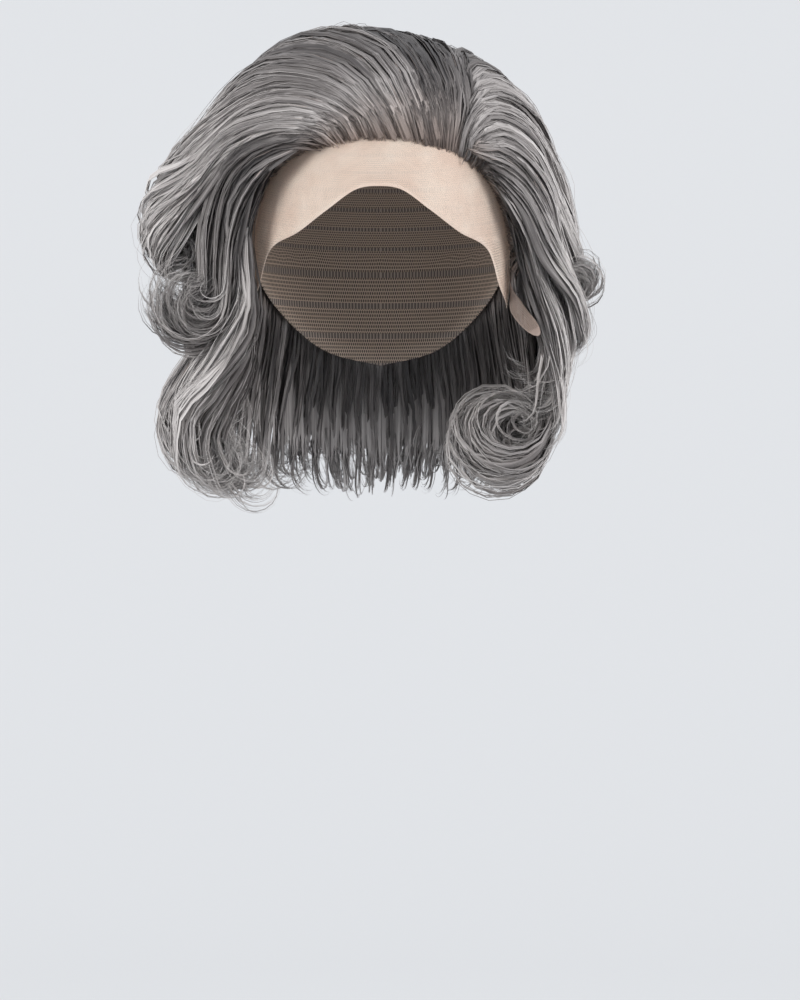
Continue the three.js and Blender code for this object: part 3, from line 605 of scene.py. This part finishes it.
def wisp_strands(wisps, count, loose=1.0, size=1.0):
    """Strands that lie on wisps: each follows one wisp for a part of its length, beside its middle line
    and mostly on its outer face, and strays from it towards the tip."""
    own = rng.integers(0, len(wisps["at"]), count)
    t = wisps["t"]
    late = rng.uniform(0, 1, count) >= STRAND["from_root"]
    begin = late * rng.uniform(0, STRAND["latest_start"], count)
    finish = rng.uniform(*STRAND["ends"], count)
    read = mix(begin[:, None], finish[:, None], np.linspace(0, 1, len(t))[None]) * (len(t) - 1)
    i = np.clip(read.astype(int), 0, len(t) - 2)
    share = read - i
    here, ahead = (own[:, None], i), (own[:, None], i + 1)
    at, out, across = (mix(wisps[key][here], wisps[key][ahead], share[..., None])
                       for key in ("at", "out", "across"))
    wide, thick = (mix(wisps[key][here], wisps[key][ahead], share) for key in ("wide", "thick"))
    beside = rng.normal(0, STRAND["beside"], (count, 1)) * wide
    beside = beside + loose * wander(count, t, STRAND_SWAYS["side"])
    above = rng.uniform(*STRAND["above"], (count, 1)) * thick + loose * wander(count, t, STRAND_SWAYS["up"])
    stray = smooth(t, STRAND["strays_from"], 1)[None] * loose
    beside = beside + stray * rng.normal(0, STRAND["stray_side"], (count, 1))
    above = above + stray * np.abs(rng.normal(0, STRAND["stray_up"], (count, 1)))
    at = at + across * beside[..., None] + out * above[..., None]
    out, across = frame_lines(at, out)
    thin = mix(STRAND["root_width"], 1, smooth(t, 0, 0.15)) * mix(1, STRAND["tip_width"], smooth(t, 0.75, 1))
    radius = STRAND["radius"] * size * rng.normal(1, STRAND["radius_spread"], (count, 1)) * thin[None]
    shade = wisps["shade"][own] + rng.normal(STRAND["lighter"], STRAND["shade_spread"], count)
    shade = np.clip(shade, *SHADE_RANGE)
    return dict(at=at, out=out, across=across, wide=radius, thick=radius, shade=shade, t=t)


def root_strands(guides, count):
    """Fine short strands along the hairline: the first quarter of the guides' lines, from roots a little
    apart."""
    stations = guide_values(guides, rng.uniform(0, 1, count))[0]
    turn = stations[:, 0, 0] + rng.normal(0, ROOT["turn_spread"], count)
    fall = table_at(HAIR_ENDS, turn) + rng.uniform(-ROOT["fall_spread"], ROOT["fall_spread"], count)
    stations[:, 0] = np.stack([turn, fall, np.full(count, ROOT["lift"])], -1)
    stations[:, 1:] += rng.normal(0, 1, (count, 1, 3)) * np.array(ROOT["shake"])
    straight = lock_lines(stations, 0 * turn, 0 * turn + 1, ROOT["of_points"], 1)
    at, out, across = (x[:, :ROOT["points"]] for x in straight)
    t = np.linspace(0, 1, ROOT["points"])
    at = at + across * wander(count, t, ROOT_SWAYS)[..., None]
    out, across = frame_lines(at, out)
    radius = STRAND["radius"] * rng.uniform(*ROOT["width"], (count, 1))
    radius = radius * mix(1, ROOT["tip_width"], smooth(t, 0.5, 1))[None]
    shade = np.clip(rng.normal(ROOT["shade"], ROOT["shade_spread"], count), *ROOT["shade_range"])
    height = t * ROOT["map_height"]
    return dict(at=at, out=out, across=across, wide=radius, thick=radius, shade=shade, t=height)


def from_root(lines, root):
    """Lines whose map starts at a share of its height, for roots that lie in the shade of other hair: they
    are painted darker, as painted shade.
    """
    return {**lines, "t": mix(root, 1, lines["t"])}


def lock_mass(guides, locks, steps, curl_steps):
    """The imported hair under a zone's wisps: locks slimmer than the wisps' spread, and thinnest at the
    root."""
    stations, sizes = guide_values(guides, np.linspace(0, 1, locks))
    at, out, across = lock_lines(stations, sizes[:, 2], sizes[:, 3], steps, curl_steps)
    t = share_along(at)
    slim = fullness(t) * mix(LOCK["root"], 1, smooth(t, 0.02, 0.3)) * mix(1, LOCK["tip"], smooth(t, 0.4, 0.8))
    wide = sizes[:, :1] / 2 * LOCK["width"] * slim[None]
    thick = sizes[:, 1:2] / 2 * LOCK["thickness"] * slim[None]
    shade = (np.arange(locks) + 0.5) / SHADES
    return dict(at=at, out=out, across=across, wide=wide, thick=thick, shade=shade, t=t)


# Tubes of hair.
def tube_faces(count, rings, sides):
    """Side quads and end triangles of tubes stored as tube, ring, side; each end is a fan."""
    n, r, s = np.meshgrid(np.arange(count), np.arange(rings - 1), np.arange(sides), indexing="ij")
    base = (n * rings + r) * sides
    after = (s + 1) % sides
    quads = np.stack([base + s, base + after, base + sides + after, base + sides + s], -1).reshape(-1, 4)
    start = np.arange(count)[:, None] * rings * sides
    fan = np.arange(1, sides - 1)[None]
    low = np.stack([start + 0 * fan, start + fan + 1, start + fan], -1).reshape(-1, 3)
    top = start + (rings - 1) * sides
    high = np.stack([top + 0 * fan, top + fan, top + fan + 1], -1).reshape(-1, 3)
    return quads, np.concatenate([low, high])


def tube_uv(count, rings, sides, column, t):
    """A map for tubes: each tube has the column of its shade, its way across is the way across the
    column, its way along goes up. Front and back share the column, so the map of a tube lies twice on the
    same strip."""
    n, r, s = np.meshgrid(np.arange(count), np.arange(rings - 1), np.arange(sides), indexing="ij")
    swing = 0.5 + 0.5 * np.sin(np.arange(sides + 1) * 2 * np.pi / sides)
    across = mix(COLUMN_MARGIN, 1 - COLUMN_MARGIN, swing)
    left = (column[n] + across[s]) / SHADES
    right = (column[n] + across[s + 1]) / SHADES
    corners = ((left, t[r]), (right, t[r]), (right, t[r + 1]), (left, t[r + 1]))
    quads = np.stack([np.stack(corner, -1) for corner in corners], 3).reshape(-1, 2)
    fans = sides - 2
    edge = np.repeat(column, fans * 3)
    corner = np.tile(np.array([0.2, 0.8, 0.5]), count * fans)
    ends = [np.stack([(edge + corner) / SHADES, np.tile(np.array(v), count * fans)], -1)
            for v in ((0.0, 0.0, 0.01), (1.0, 1.0, 0.99))]
    return np.concatenate([quads, *ends])


def hair_tubes(name, material, sides, at, out, across, thick, wide, shade, t):
    """Tubes of hair: an ellipse of the given half thickness and half width carried along each line."""
    count, rings = at.shape[:2]
    angle = np.arange(sides) * 2 * np.pi / sides
    ring = (np.cos(angle)[:, None] * (out * thick[..., None])[:, :, None]
            + np.sin(angle)[:, None] * (across * wide[..., None])[:, :, None])
    column = np.clip((shade * SHADES).astype(int), 0, SHADES - 1)
    quads, ends = tube_faces(count, rings, sides)
    uv = tube_uv(count, rings, sides, column, t)
    piece = make_piece(name, (at[:, :, None] + ring).reshape(-1, 3), quads, material, ends, uv)
    return piece


def part_edges(piece, sides):
    """Makes the long edges of tubes sharp, apart from their ridge, so that each is lit as a flat
    ribbon."""
    mesh = piece.data
    ends = np.zeros(len(mesh.edges) * 2, np.int32)
    mesh.edges.foreach_get("vertices", ends)
    first, second = (ends.reshape(-1, 2) % sides).T
    marks = mesh.attributes.get("sharp_edge") or mesh.attributes.new("sharp_edge", "BOOLEAN", "EDGE")
    marks.data.foreach_set("value", (first == second) & (first != 0))
    mesh.update()


# Materials.
def feed(tree, node, inputs):
    """Feeds a node's inputs, by number or name, from another node's output or with a constant."""
    for key, value in inputs.items():
        if isinstance(value, bpy.types.NodeSocket):
            tree.links.new(value, node.inputs[key])
        else:
            node.inputs[key].default_value = value


def add_node(tree, kind, inputs=None, **settings):
    """A node with its settings and its inputs."""
    node = tree.nodes.new(kind)
    for key, value in settings.items():
        setattr(node, key, value)
    feed(tree, node, inputs or {})
    return node


def math_node(tree, operation, *values):
    """The result of a sum on one or two values."""
    return add_node(tree, "ShaderNodeMath", dict(enumerate(values)), operation=operation).outputs[0]


def vector_node(tree, operation, *values):
    """The outputs of a sum on vectors."""
    return add_node(tree, "ShaderNodeVectorMath", dict(enumerate(values)), operation=operation).outputs


def map_range(tree, value, source, target, **settings):
    """A value carried from one range to another."""
    inputs = dict(enumerate((value, *source, *target)))
    return add_node(tree, "ShaderNodeMapRange", inputs, **settings).outputs[0]


def colour_mix(tree, share, first, second, **settings):
    """A colour a share of the way from the first to the second."""
    inputs = {0: share, 6: first, 7: second}
    return add_node(tree, "ShaderNodeMix", inputs, data_type="RGBA", **settings).outputs[2]


def split_place(tree, place):
    """The parts of a place along its axes."""
    return add_node(tree, "ShaderNodeSeparateXYZ", {0: place}).outputs


def colour_ramp(tree, value, stops):
    """The colour at a value on a ramp of stops, each (position, colour)."""
    node = add_node(tree, "ShaderNodeValToRGB", {0: value})
    elements = node.color_ramp.elements
    while len(elements) < len(stops):
        elements.new(1)
    for element, (position, colour) in zip(elements, stops):
        element.position = position
        element.color = (*colour, 1)
    return node.outputs[0]


def value_curve(tree, value, places):
    """A value read from a curve through places, each (in, out)."""
    node = add_node(tree, "ShaderNodeFloatCurve", {"Value": value})
    points = node.mapping.curves[0].points
    while len(points) < len(places):
        points.new(0.5, 0.5)
    for point, place in zip(points, places):
        point.location = place
    node.mapping.update()
    return node.outputs[0]


def new_material(name):
    """An empty material, its node tree and its Principled shader."""
    material = bpy.data.materials.new(name)
    material.use_nodes = True
    return material, material.node_tree, material.node_tree.nodes["Principled BSDF"]


def add_bump(tree, shader, height, distance):
    """Raises the surface a little where a value is high."""
    bump = add_node(tree, "ShaderNodeBump", {"Strength": 0.6, "Distance": distance, "Height": height})
    feed(tree, shader, {"Normal": bump.outputs[0]})


def new_group(name, inputs, output):
    """A node group with named inputs and one output, each (name, kind), and the sockets of its start and
    end."""
    tree = bpy.data.node_groups.new(name, "ShaderNodeTree")
    for socket, kind in inputs:
        tree.interface.new_socket(socket, in_out="INPUT", socket_type="NodeSocket" + kind)
    tree.interface.new_socket(output[0], in_out="OUTPUT", socket_type="NodeSocket" + output[1])
    return tree, tree.nodes.new("NodeGroupInput").outputs, tree.nodes.new("NodeGroupOutput")


def grey_hair_group():
    """Colour of grey hair: a ramp from charcoal to silver by shade, brown at the root, paler to the
    tip."""
    tree, given, end = new_group("Grey hair", (("Shade", "Float"), ("Along", "Float")), ("Color", "Color"))
    change = math_node(tree, "SUBTRACT", value_curve(tree, given["Along"], SHADE_ALONG), MIDDLE_SHADE)
    grey = colour_ramp(tree, math_node(tree, "ADD", given["Shade"], change), GREYS)
    root = map_range(tree, given["Along"], (0.0, BROWN_LENGTH), (1.0, 0.0), interpolation_type="SMOOTHSTEP")
    feed(tree, end, {"Color": colour_mix(tree, root, grey, ROOT_BROWN, blend_type="MULTIPLY")})
    return tree


def hair_streaks_group():
    """Fine streaks along hair: noise narrow across the map and long up it, spread out to the range 0 to
    1."""
    inputs = (("Place", "Vector"), ("Count", "Float"))
    tree, given, end = new_group("Hair streaks", inputs, ("Streak", "Float"))
    across, along = split_place(tree, given["Place"])[:2]
    narrow = math_node(tree, "MULTIPLY", across, given["Count"])
    long = math_node(tree, "MULTIPLY", along, 5.0)
    place = add_node(tree, "ShaderNodeCombineXYZ", {0: narrow, 1: long}).outputs[0]
    noise = add_node(tree, "ShaderNodeTexNoise", {0: place, 2: 1.0, 3: 2.0, 4: 0.6}).outputs[0]
    feed(tree, end, {"Streak": map_range(tree, noise, (0.3, 0.7), (0.0, 1.0))})
    return tree


def hexagon_net_group():
    """A net of hexagons: two offset grids of cells, the nearer cell's middle, and a thread near its
    edge."""
    tree, given, end = new_group("Hexagon net", (("Place", "Vector"), ("Thread", "Float")), ("Mask", "Float"))
    half = (0.5, 0.8660254, 0.5)
    minus = tuple(-x for x in half)
    moved = vector_node(tree, "ADD", given["Place"], half)[0]
    cells = [vector_node(tree, "WRAP", place, half, minus)[0] for place in (given["Place"], moved)]
    lengths = [vector_node(tree, "LENGTH", cell)["Value"] for cell in cells]
    nearer = math_node(tree, "LESS_THAN", lengths[1], lengths[0])
    choice = {0: nearer, 4: cells[0], 5: cells[1]}
    pick = add_node(tree, "ShaderNodeMix", choice, data_type="VECTOR").outputs[1]
    folded = vector_node(tree, "ABSOLUTE", pick)[0]
    slant = vector_node(tree, "DOT_PRODUCT", folded, (half[0], half[1], 0))["Value"]
    reach = math_node(tree, "MAXIMUM", slant, split_place(tree, folded)[0])
    inside = math_node(tree, "SUBTRACT", 0.5, given["Thread"])
    feed(tree, end, {"Mask": math_node(tree, "GREATER_THAN", reach, inside)})
    return tree


GREY_HAIR = grey_hair_group()
HAIR_STREAKS = hair_streaks_group()
HEXAGON_NET = hexagon_net_group()


def hair_material(name, streaks, base, contrast, columns=False, fray=None, relief=0):
    """Hair by its map: the column gives the shade, streaks vary it, and the ends or the edges may
    fray."""
    material, tree, shader = new_material(name)
    place = add_node(tree, "ShaderNodeUVMap", uv_map="OFBake").outputs[0]
    across, along = split_place(tree, place)[:2]
    fine = add_node(tree, "ShaderNodeGroup", {"Place": place, "Count": streaks}, node_tree=HAIR_STREAKS)
    streak = fine.outputs[0]
    shade = map_range(tree, streak, (0.0, 1.0), (base - contrast / 2, base + contrast / 2))
    if columns:
        scaled = math_node(tree, "MULTIPLY", across, float(SHADES))
        column = math_node(tree, "DIVIDE", math_node(tree, "FLOOR", scaled), float(SHADES))
        shade = math_node(tree, "ADD", column, shade)
    grey = add_node(tree, "ShaderNodeGroup", {"Shade": shade, "Along": along}, node_tree=GREY_HAIR).outputs[0]
    feed(tree, shader, {"Base Color": grey, "Roughness": 0.45, "Specular IOR Level": 0.4})
    if fray == "end":
        worn = map_range(tree, along, (0.88, 1.0), (0.0, 1.05))
    if fray == "edges":
        middle = math_node(tree, "PINGPONG", math_node(tree, "FRACT", scaled), 0.5)
        edge = map_range(tree, middle, (0.4, 0.06), (0.0, 0.8))
        tip = map_range(tree, along, (0.72, 1.0), (0.0, 0.85))
        worn = math_node(tree, "MAXIMUM", edge, tip)
    if fray:
        feed(tree, shader, {"Alpha": math_node(tree, "GREATER_THAN", streak, worn)})
    if relief:
        add_bump(tree, shader, streak, relief)
    return material


def net_threads(tree, scale, thread):
    """The place on a piece's own map of its net, and a mask that is 1 on the threads of a hexagon net
    there."""
    place = add_node(tree, "ShaderNodeUVMap", uv_map="Net").outputs[0]
    finer = add_node(tree, "ShaderNodeVectorMath", {0: place, "Scale": scale}, operation="SCALE").outputs[0]
    net = add_node(tree, "ShaderNodeGroup", {"Place": finer, "Thread": thread}, node_tree=HEXAGON_NET)
    return place, net.outputs[0]


def lace_material(name, low, high):
    """Sheer net: threads of a fine hexagon net, closed along the free edge, in a slightly uneven tint."""
    material, tree, shader = new_material(name)
    threads = net_threads(tree, LACE_CELLS, LACE_THREAD)[1]
    edge = add_node(tree, "ShaderNodeAttribute", attribute_name="edge").outputs["Fac"]
    spot = add_node(tree, "ShaderNodeTexCoord").outputs["Object"]
    blotch = add_node(tree, "ShaderNodeTexNoise", {0: spot, 2: 60.0, 3: 3.0}).outputs[0]
    feed(tree, shader, {"Base Color": colour_ramp(tree, blotch, [(0.3, low), (0.7, high)]), "Roughness": 0.75,
                        "Alpha": math_node(tree, "MAXIMUM", threads, edge)})
    return material


def cap_material():
    """Stretch net with rows of sewn wefts: a stitched band at each row, and net over hair between the
    rows."""
    material, tree, shader = new_material("cap_net")
    place, threads = net_threads(tree, CAP_CELLS, CAP_THREAD)
    across, down = split_place(tree, place)[:2]
    band = math_node(tree, "LESS_THAN", math_node(tree, "PINGPONG", down, 6.0), 1.1)
    stitch = math_node(tree, "GREATER_THAN", math_node(tree, "PINGPONG", across, 1.2), 0.7)
    ground = colour_mix(tree, threads, (0.10, 0.085, 0.075, 1), (0.50, 0.39, 0.31, 1))
    sewn = colour_mix(tree, stitch, (0.13, 0.11, 0.10, 1), (0.36, 0.30, 0.26, 1))
    feed(tree, shader, {"Base Color": colour_mix(tree, band, ground, sewn), "Roughness": 0.85})
    add_bump(tree, shader, math_node(tree, "MAXIMUM", threads, band), 0.0004)
    return material


STRANDS = hair_material("grey_strands", SHADES * 3.0, 0.0, 0.1, columns=True)
WISPS = hair_material("grey_wisps", SHADES * 7.0, 0.0, 0.55, columns=True, fray="edges", relief=0.0002)
PACKED = hair_material("packed_hair", SHADES * 40.0, 0.44, 0.46, relief=0.0003)
# The body of hair under the wisps has a darker base than the wisps: painted shade of the hair beneath them.
UNDER = hair_material("under_hair", 900.0, 0.3, 0.46, fray="end", relief=0.0003)
LACE = lace_material("skin_lace", (0.76, 0.60, 0.50), (0.84, 0.72, 0.62))
# The ear tabs' lace is a darker copy of the lace: partly its double layer, partly painted shade.
TAB_LACE = lace_material("tab_lace", (0.25, 0.19, 0.165), (0.34, 0.265, 0.225))
CAP = cap_material()


# Cap, lace and body of hair.
def close_seam(corners, around):
    """Map corners of a closed grid: on the faces from the last column to the first, the first goes once
    round."""
    across = corners[..., 0]
    wraps = (across.max(1) - across.min(1) > around / 2)[:, None] & (across < across.mean(1, keepdims=True))
    return np.stack([across + wraps * around, corners[..., 1]], -1)


def wall_piece(name, outer, inner, material, closed, net=None, edge=None):
    """A thin wall from two grids of points, rows down and columns round, joined along its edges into a
    shell."""
    rows, columns = outer.shape[:2]
    points = np.concatenate([outer.reshape(-1, 3), inner.reshape(-1, 3)])
    side = rows * columns
    column = np.arange(columns if closed else columns - 1)
    after = (column + 1) % columns
    last = (rows - 1) * columns
    front = grid_quads(rows, columns, closed)[:, ::-1]
    behind = grid_quads(rows, columns, closed) + side
    under = np.stack([last + column, last + column + side, last + after + side, last + after], -1)
    over = np.stack([column, after, after + side, column + side], -1)
    faces = [front, behind, under, over]
    if not closed:
        row = np.arange(rows - 1) * columns
        end = row + columns - 1
        faces.append(np.stack([row, row + side, row + columns + side, row + columns], -1))
        faces.append(np.stack([end, end + columns, end + columns + side, end + side], -1))
    quads = np.concatenate(faces)
    u, v = np.meshgrid(np.linspace(0, 1, columns), np.linspace(0, 1, rows))
    flat = np.stack([u * MAP_WIDTH, v], -1).reshape(-1, 2)
    uv = np.concatenate([flat, flat + [MAP_STEP, 0]])[quads]
    cells = None if net is None else np.concatenate([net.reshape(-1, 2)] * 2)[quads]
    if closed:
        uv = close_seam(uv, MAP_WIDTH * columns / (columns - 1))
    if closed and net is not None:
        cells = close_seam(cells, (net[0, 1, 0] - net[0, 0, 0]) * columns)
    values = None if edge is None else dict(edge=np.concatenate([edge.ravel()] * 2))
    return make_piece(name, points, quads, material, None, uv, values, cells)


def round_grid(rows, columns):
    """Turns all round and shares from the crown to the edge."""
    return np.meshgrid(np.arange(columns) * 360 / columns - 180, np.linspace(POLE, 1, rows))


def net_places(turn, tilt, size):
    """Places on the map of a net, by the share round the cap and down from its crown."""
    return np.stack([turn / 360 * size[0], tilt / np.pi * size[1]], -1)


def body_lift(turn, fall):
    """How far the body of hair stands off: thin at the hairline and temples, full on the crown and
    sides."""
    frontness = np.cos(np.radians(turn))
    side = np.where(np.sin(np.radians(turn)) > 0, BODY["right"], BODY["left"])
    level = mix(side, np.where(frontness > 0, BODY["top"], BODY["back"]), frontness ** 2)
    full = mix(BODY["top"], level, smooth(fall, BODY["fills_from"], BODY["full_at"]))
    hanging = mix(full, CURTAIN["outer"], smooth(fall, DOME_FALL, DOME_FALL + CURTAIN["settle"]))
    behind_hairline = smooth(table_at(HAIR_ENDS, turn) - fall, 0, BODY["ramp"])
    in_front = np.where(np.abs(turn) <= LACE_HALF_TURN, behind_hairline, 1)
    temple = smooth(np.abs(turn), BODY["temple_turn"], BODY["temple_turn"] + BODY["temple_ramp"])
    low = smooth(fall, BODY["temple_fall"], DOME_FALL)
    return mix(BODY["edge"], hanging, np.minimum(in_front, mix(1, temple, low)))


def make_body():
    """The body of hair: its lift as a function of the turn and the fall, over an inner face by the
    cap."""
    turn, share = round_grid(*BODY_GRID)
    fall = table_at(HAIR_ENDS, turn) * share
    hang = smooth(fall, DOME_FALL, DOME_FALL + CURTAIN["settle"])
    inner = mix(CAP_WALL + BODY["off_cap"], CURTAIN["inner"], hang)
    lift = CAP_WALL + HAIR_CLEARANCE + body_lift(turn, fall)
    thinning = smooth(share, CURTAIN["thins_from"], 1) * hang
    lift = mix(lift, np.minimum(lift, inner + CURTAIN["edge"]), thinning)
    inner = np.minimum(inner, lift - BODY["thinnest"])
    outside, inside = hair_point(turn, fall, lift), hair_point(turn, fall, inner)
    piece = wall_piece("hair_body_mass", outside, inside, UNDER, True)
    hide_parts("hair_body")


def make_cap():
    """The cap: its ellipsoid from the crown to the seam in front and to the edge over the ears and the
    nape."""
    turn, share = round_grid(*CAP_GRID)
    in_front = np.abs(turn) <= LACE_HALF_TURN
    low = np.where(in_front, table_at(LACE_SEAM, turn) + SEAM_GAP, table_at(NAPE_EDGE, turn))
    tilt = tilt_at(low) * share
    outside, inside = cap_point(turn, tilt, CAP_WALL), cap_point(turn, tilt, CAP_INSIDE)
    piece = wall_piece("cap_net", outside, inside, CAP, True, net_places(turn, tilt, CAP_NET))
    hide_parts("cap")


def make_lace():
    """The lace front: the cap's ellipsoid between the seam and the free edge, ear to ear."""
    rows, columns = LACE_GRID
    around = np.linspace(-LACE_HALF_TURN, LACE_HALF_TURN, columns)
    turn, share = np.meshgrid(around, np.linspace(0, 1, rows))
    tilt = mix(tilt_at(table_at(LACE_SEAM, turn)), tilt_at(table_at(LACE_EDGE, turn)), share)
    edge = LACE_RIM["cover"] * smooth(share, LACE_RIM["starts"], LACE_RIM["ends"])
    outside, inside = cap_point(turn, tilt, LACE_INSIDE + LACE_WALL), cap_point(turn, tilt, LACE_INSIDE)
    piece = wall_piece("lace_sheet", outside, inside, LACE, False, net_places(turn, tilt, LACE_NET), edge)
    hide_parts("lace_front")
    return piece


def make_tab(name, stations, width, faces):
    """An ear tab: a strip carried along its line, cupped a little, turned to its own way across and
    round-ended."""
    at, along = smooth_curve(hair_point(*np.array(stations, float).T)[None], TAB["along"])
    at, along = at[0], along[0]
    out = square_to(outwards(at), along)
    t, v = np.linspace(0, 1, TAB["along"]), np.linspace(-1, 1, TAB["across"])
    rounding = np.clip((t - TAB["round_from"]) / (1 - TAB["round_from"]), 0, 1)
    half = width / 2 * mix(TAB["root_width"], 1, smooth(t, 0.1, 0.6))
    half = half * np.sqrt(1 - TAB["end"] * rounding ** 2)
    across = mix(np.cross(along, out), np.array(faces, float), smooth(t, 0.1, 0.7)[:, None])
    across = square_to(across, along)
    out = np.cross(across, along)
    lower = at[:, None] + across[:, None] * (half[:, None] * v[None])[..., None]
    lower = lower + out[:, None] * (TAB["cup"] * (v ** 2)[None] * half[:, None])[..., None]
    upper = lower + out[:, None] * LACE_WALL
    cells = np.stack(np.meshgrid(v * TAB["net"][0], t * TAB["net"][1]), -1)
    rim = smooth(np.maximum(np.abs(v)[None], t[:, None]), *TAB["rim"])
    strip = wall_piece(name, lower, upper, TAB_LACE, False, cells, rim)
    return strip


make_body()
make_cap()
lace_sheet = make_lace()
lace_tabs = [make_tab(name, **tab) for name, tab in TABS.items()]

# Locks, wisps, strands and flyaways of each zone, then the fine roots.
for name, guides, node, locks, wisps, strands, flyaways, clumps, steps, curl_steps in ZONES:
    piece_name = "hair_" + name
    root = SHADED_ROOTS.get(name, 0)
    if locks:
        lines = lock_mass(guides, locks, steps * LOCK["finer"], curl_steps * LOCK["finer"])
        mass = hair_tubes(piece_name + "_mass", PACKED, LOCK["sides"], **lines)
        if node:
            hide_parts(node)
    gathered = zone_wisps(guides, wisps, clumps, steps, curl_steps, **ZONE_HABITS[name])
    ribbons = hair_tubes(piece_name + "_wisps", WISPS, WISP["sides"], **from_root(gathered, root))
    part_edges(ribbons, WISP["sides"])
    lying = from_root(wisp_strands(gathered, strands), root)
    hair_tubes(piece_name + "_strands", STRANDS, STRAND["sides"], **lying)
    if flyaways:
        stray = from_root(wisp_strands(gathered, flyaways, **FLYAWAY), root)
        hair_tubes(piece_name + "_flyaways", STRANDS, STRAND["sides"], **stray)

for name, guides, count in ROOTS:
    hair_tubes("hair_" + name + "_roots", STRANDS, STRAND["sides"], **root_strands(guides, count))


# The cloth's area.
def mesh_area(piece):
    """Half the area of a thin closed wall, which is the cloth's own area, in square metres."""
    areas = np.zeros(len(piece.data.polygons), np.float32)
    piece.data.polygons.foreach_get("area", areas)
    return float(areas.sum()) / 2


round(mesh_area(lace_sheet), 4)


# Floor, backdrop, light and camera.
STUDIO = dict(floor=-900.0, bend_from=2400, bend=1400, wall=3800.0, top=4200.0, sides=72, bend_steps=14)


def make_stage():
    """A pale round studio: a floor that bends up into a wall all round, as a profile turned about the
    upright."""
    angle = np.linspace(0, np.pi / 2, STUDIO["bend_steps"])
    bend, floor = STUDIO["bend"], STUDIO["floor"]
    curve = STUDIO["bend_from"] + bend * np.sin(angle), floor + bend * (1 - np.cos(angle))
    radius = np.concatenate([[0.0, STUDIO["bend_from"] / 2], curve[0], [STUDIO["wall"]]])
    height = np.concatenate([[floor, floor], curve[1], [STUDIO["top"]]])
    around = np.arange(STUDIO["sides"]) * 2 * np.pi / STUDIO["sides"]
    points = np.stack(np.broadcast_arrays(radius[:, None] * np.sin(around), -radius[:, None] * np.cos(around),
                                          height[:, None]), -1).reshape(-1, 3)
    material, tree, shader = new_material("pale_studio")
    feed(tree, shader, {"Base Color": (0.32, 0.325, 0.335, 1), "Roughness": 1.0, "Specular IOR Level": 0.0,
                        "Emission Color": (0.955, 0.975, 1.0, 1), "Emission Strength": 0.5})
    material.cycles.emission_sampling = "NONE"
    mesh = bpy.data.meshes.new("studio")
    faces = grid_quads(len(radius), STUDIO["sides"], True)[STUDIO["sides"]:]
    mesh.from_pydata((points * MM).tolist(), [], faces.tolist())
    mesh.materials.append(material)
    mesh.polygons.foreach_set("use_smooth", np.ones(len(mesh.polygons), bool))
    studio = bpy.data.objects.new("studio", mesh)
    bpy.context.scene.collection.objects.link(studio)


def add_light(name, place, aim, size, watts, colour):
    """A soft square lamp at a place, turned to its aim."""
    lamp = bpy.data.lights.new(name, "AREA")
    lamp.size, lamp.energy, lamp.color = size, watts, colour
    holder = bpy.data.objects.new(name, lamp)
    holder.location = place
    holder.rotation_euler = (Vector(aim) - Vector(place)).to_track_quat("-Z", "Y").to_euler()
    bpy.context.scene.collection.objects.link(holder)


make_stage()
add_light("left_softbox", (-1.8, -1.3, 0.3), (0, 0, -0.12), 1.3, 36, (1.0, 0.985, 0.96))
add_light("right_softbox", (1.9, -1.2, 0.2), (0, 0, -0.12), 1.3, 38, (1.0, 0.985, 0.97))
add_light("top_softbox", (0.1, 0.3, 1.7), (0, 0, 0), 1.0, 7, (1.0, 1.0, 1.0))
world = bpy.data.worlds.new("studio")
world.use_nodes = True
feed(world.node_tree, world.node_tree.nodes["Background"], {0: (0.86, 0.88, 0.92, 1), 1: 0.6})
bpy.context.scene.world = world
bpy.context.scene.view_settings.view_transform = "Standard"

# The camera's focal length is 3060 px on the long side of a picture 1000 px high.
camera = bpy.data.cameras.new("front")
camera.sensor_width = 36
camera.lens = camera.sensor_width * 3060 / 1000
camera.clip_end = 50
view = bpy.data.objects.new("front", camera)
view.location = (0.01235, -1.860, -0.254)
view.rotation_euler = (np.pi / 2, 0, 0)
bpy.context.scene.collection.objects.link(view)
bpy.context.scene.camera = view

bpy.context.view_layer.update()
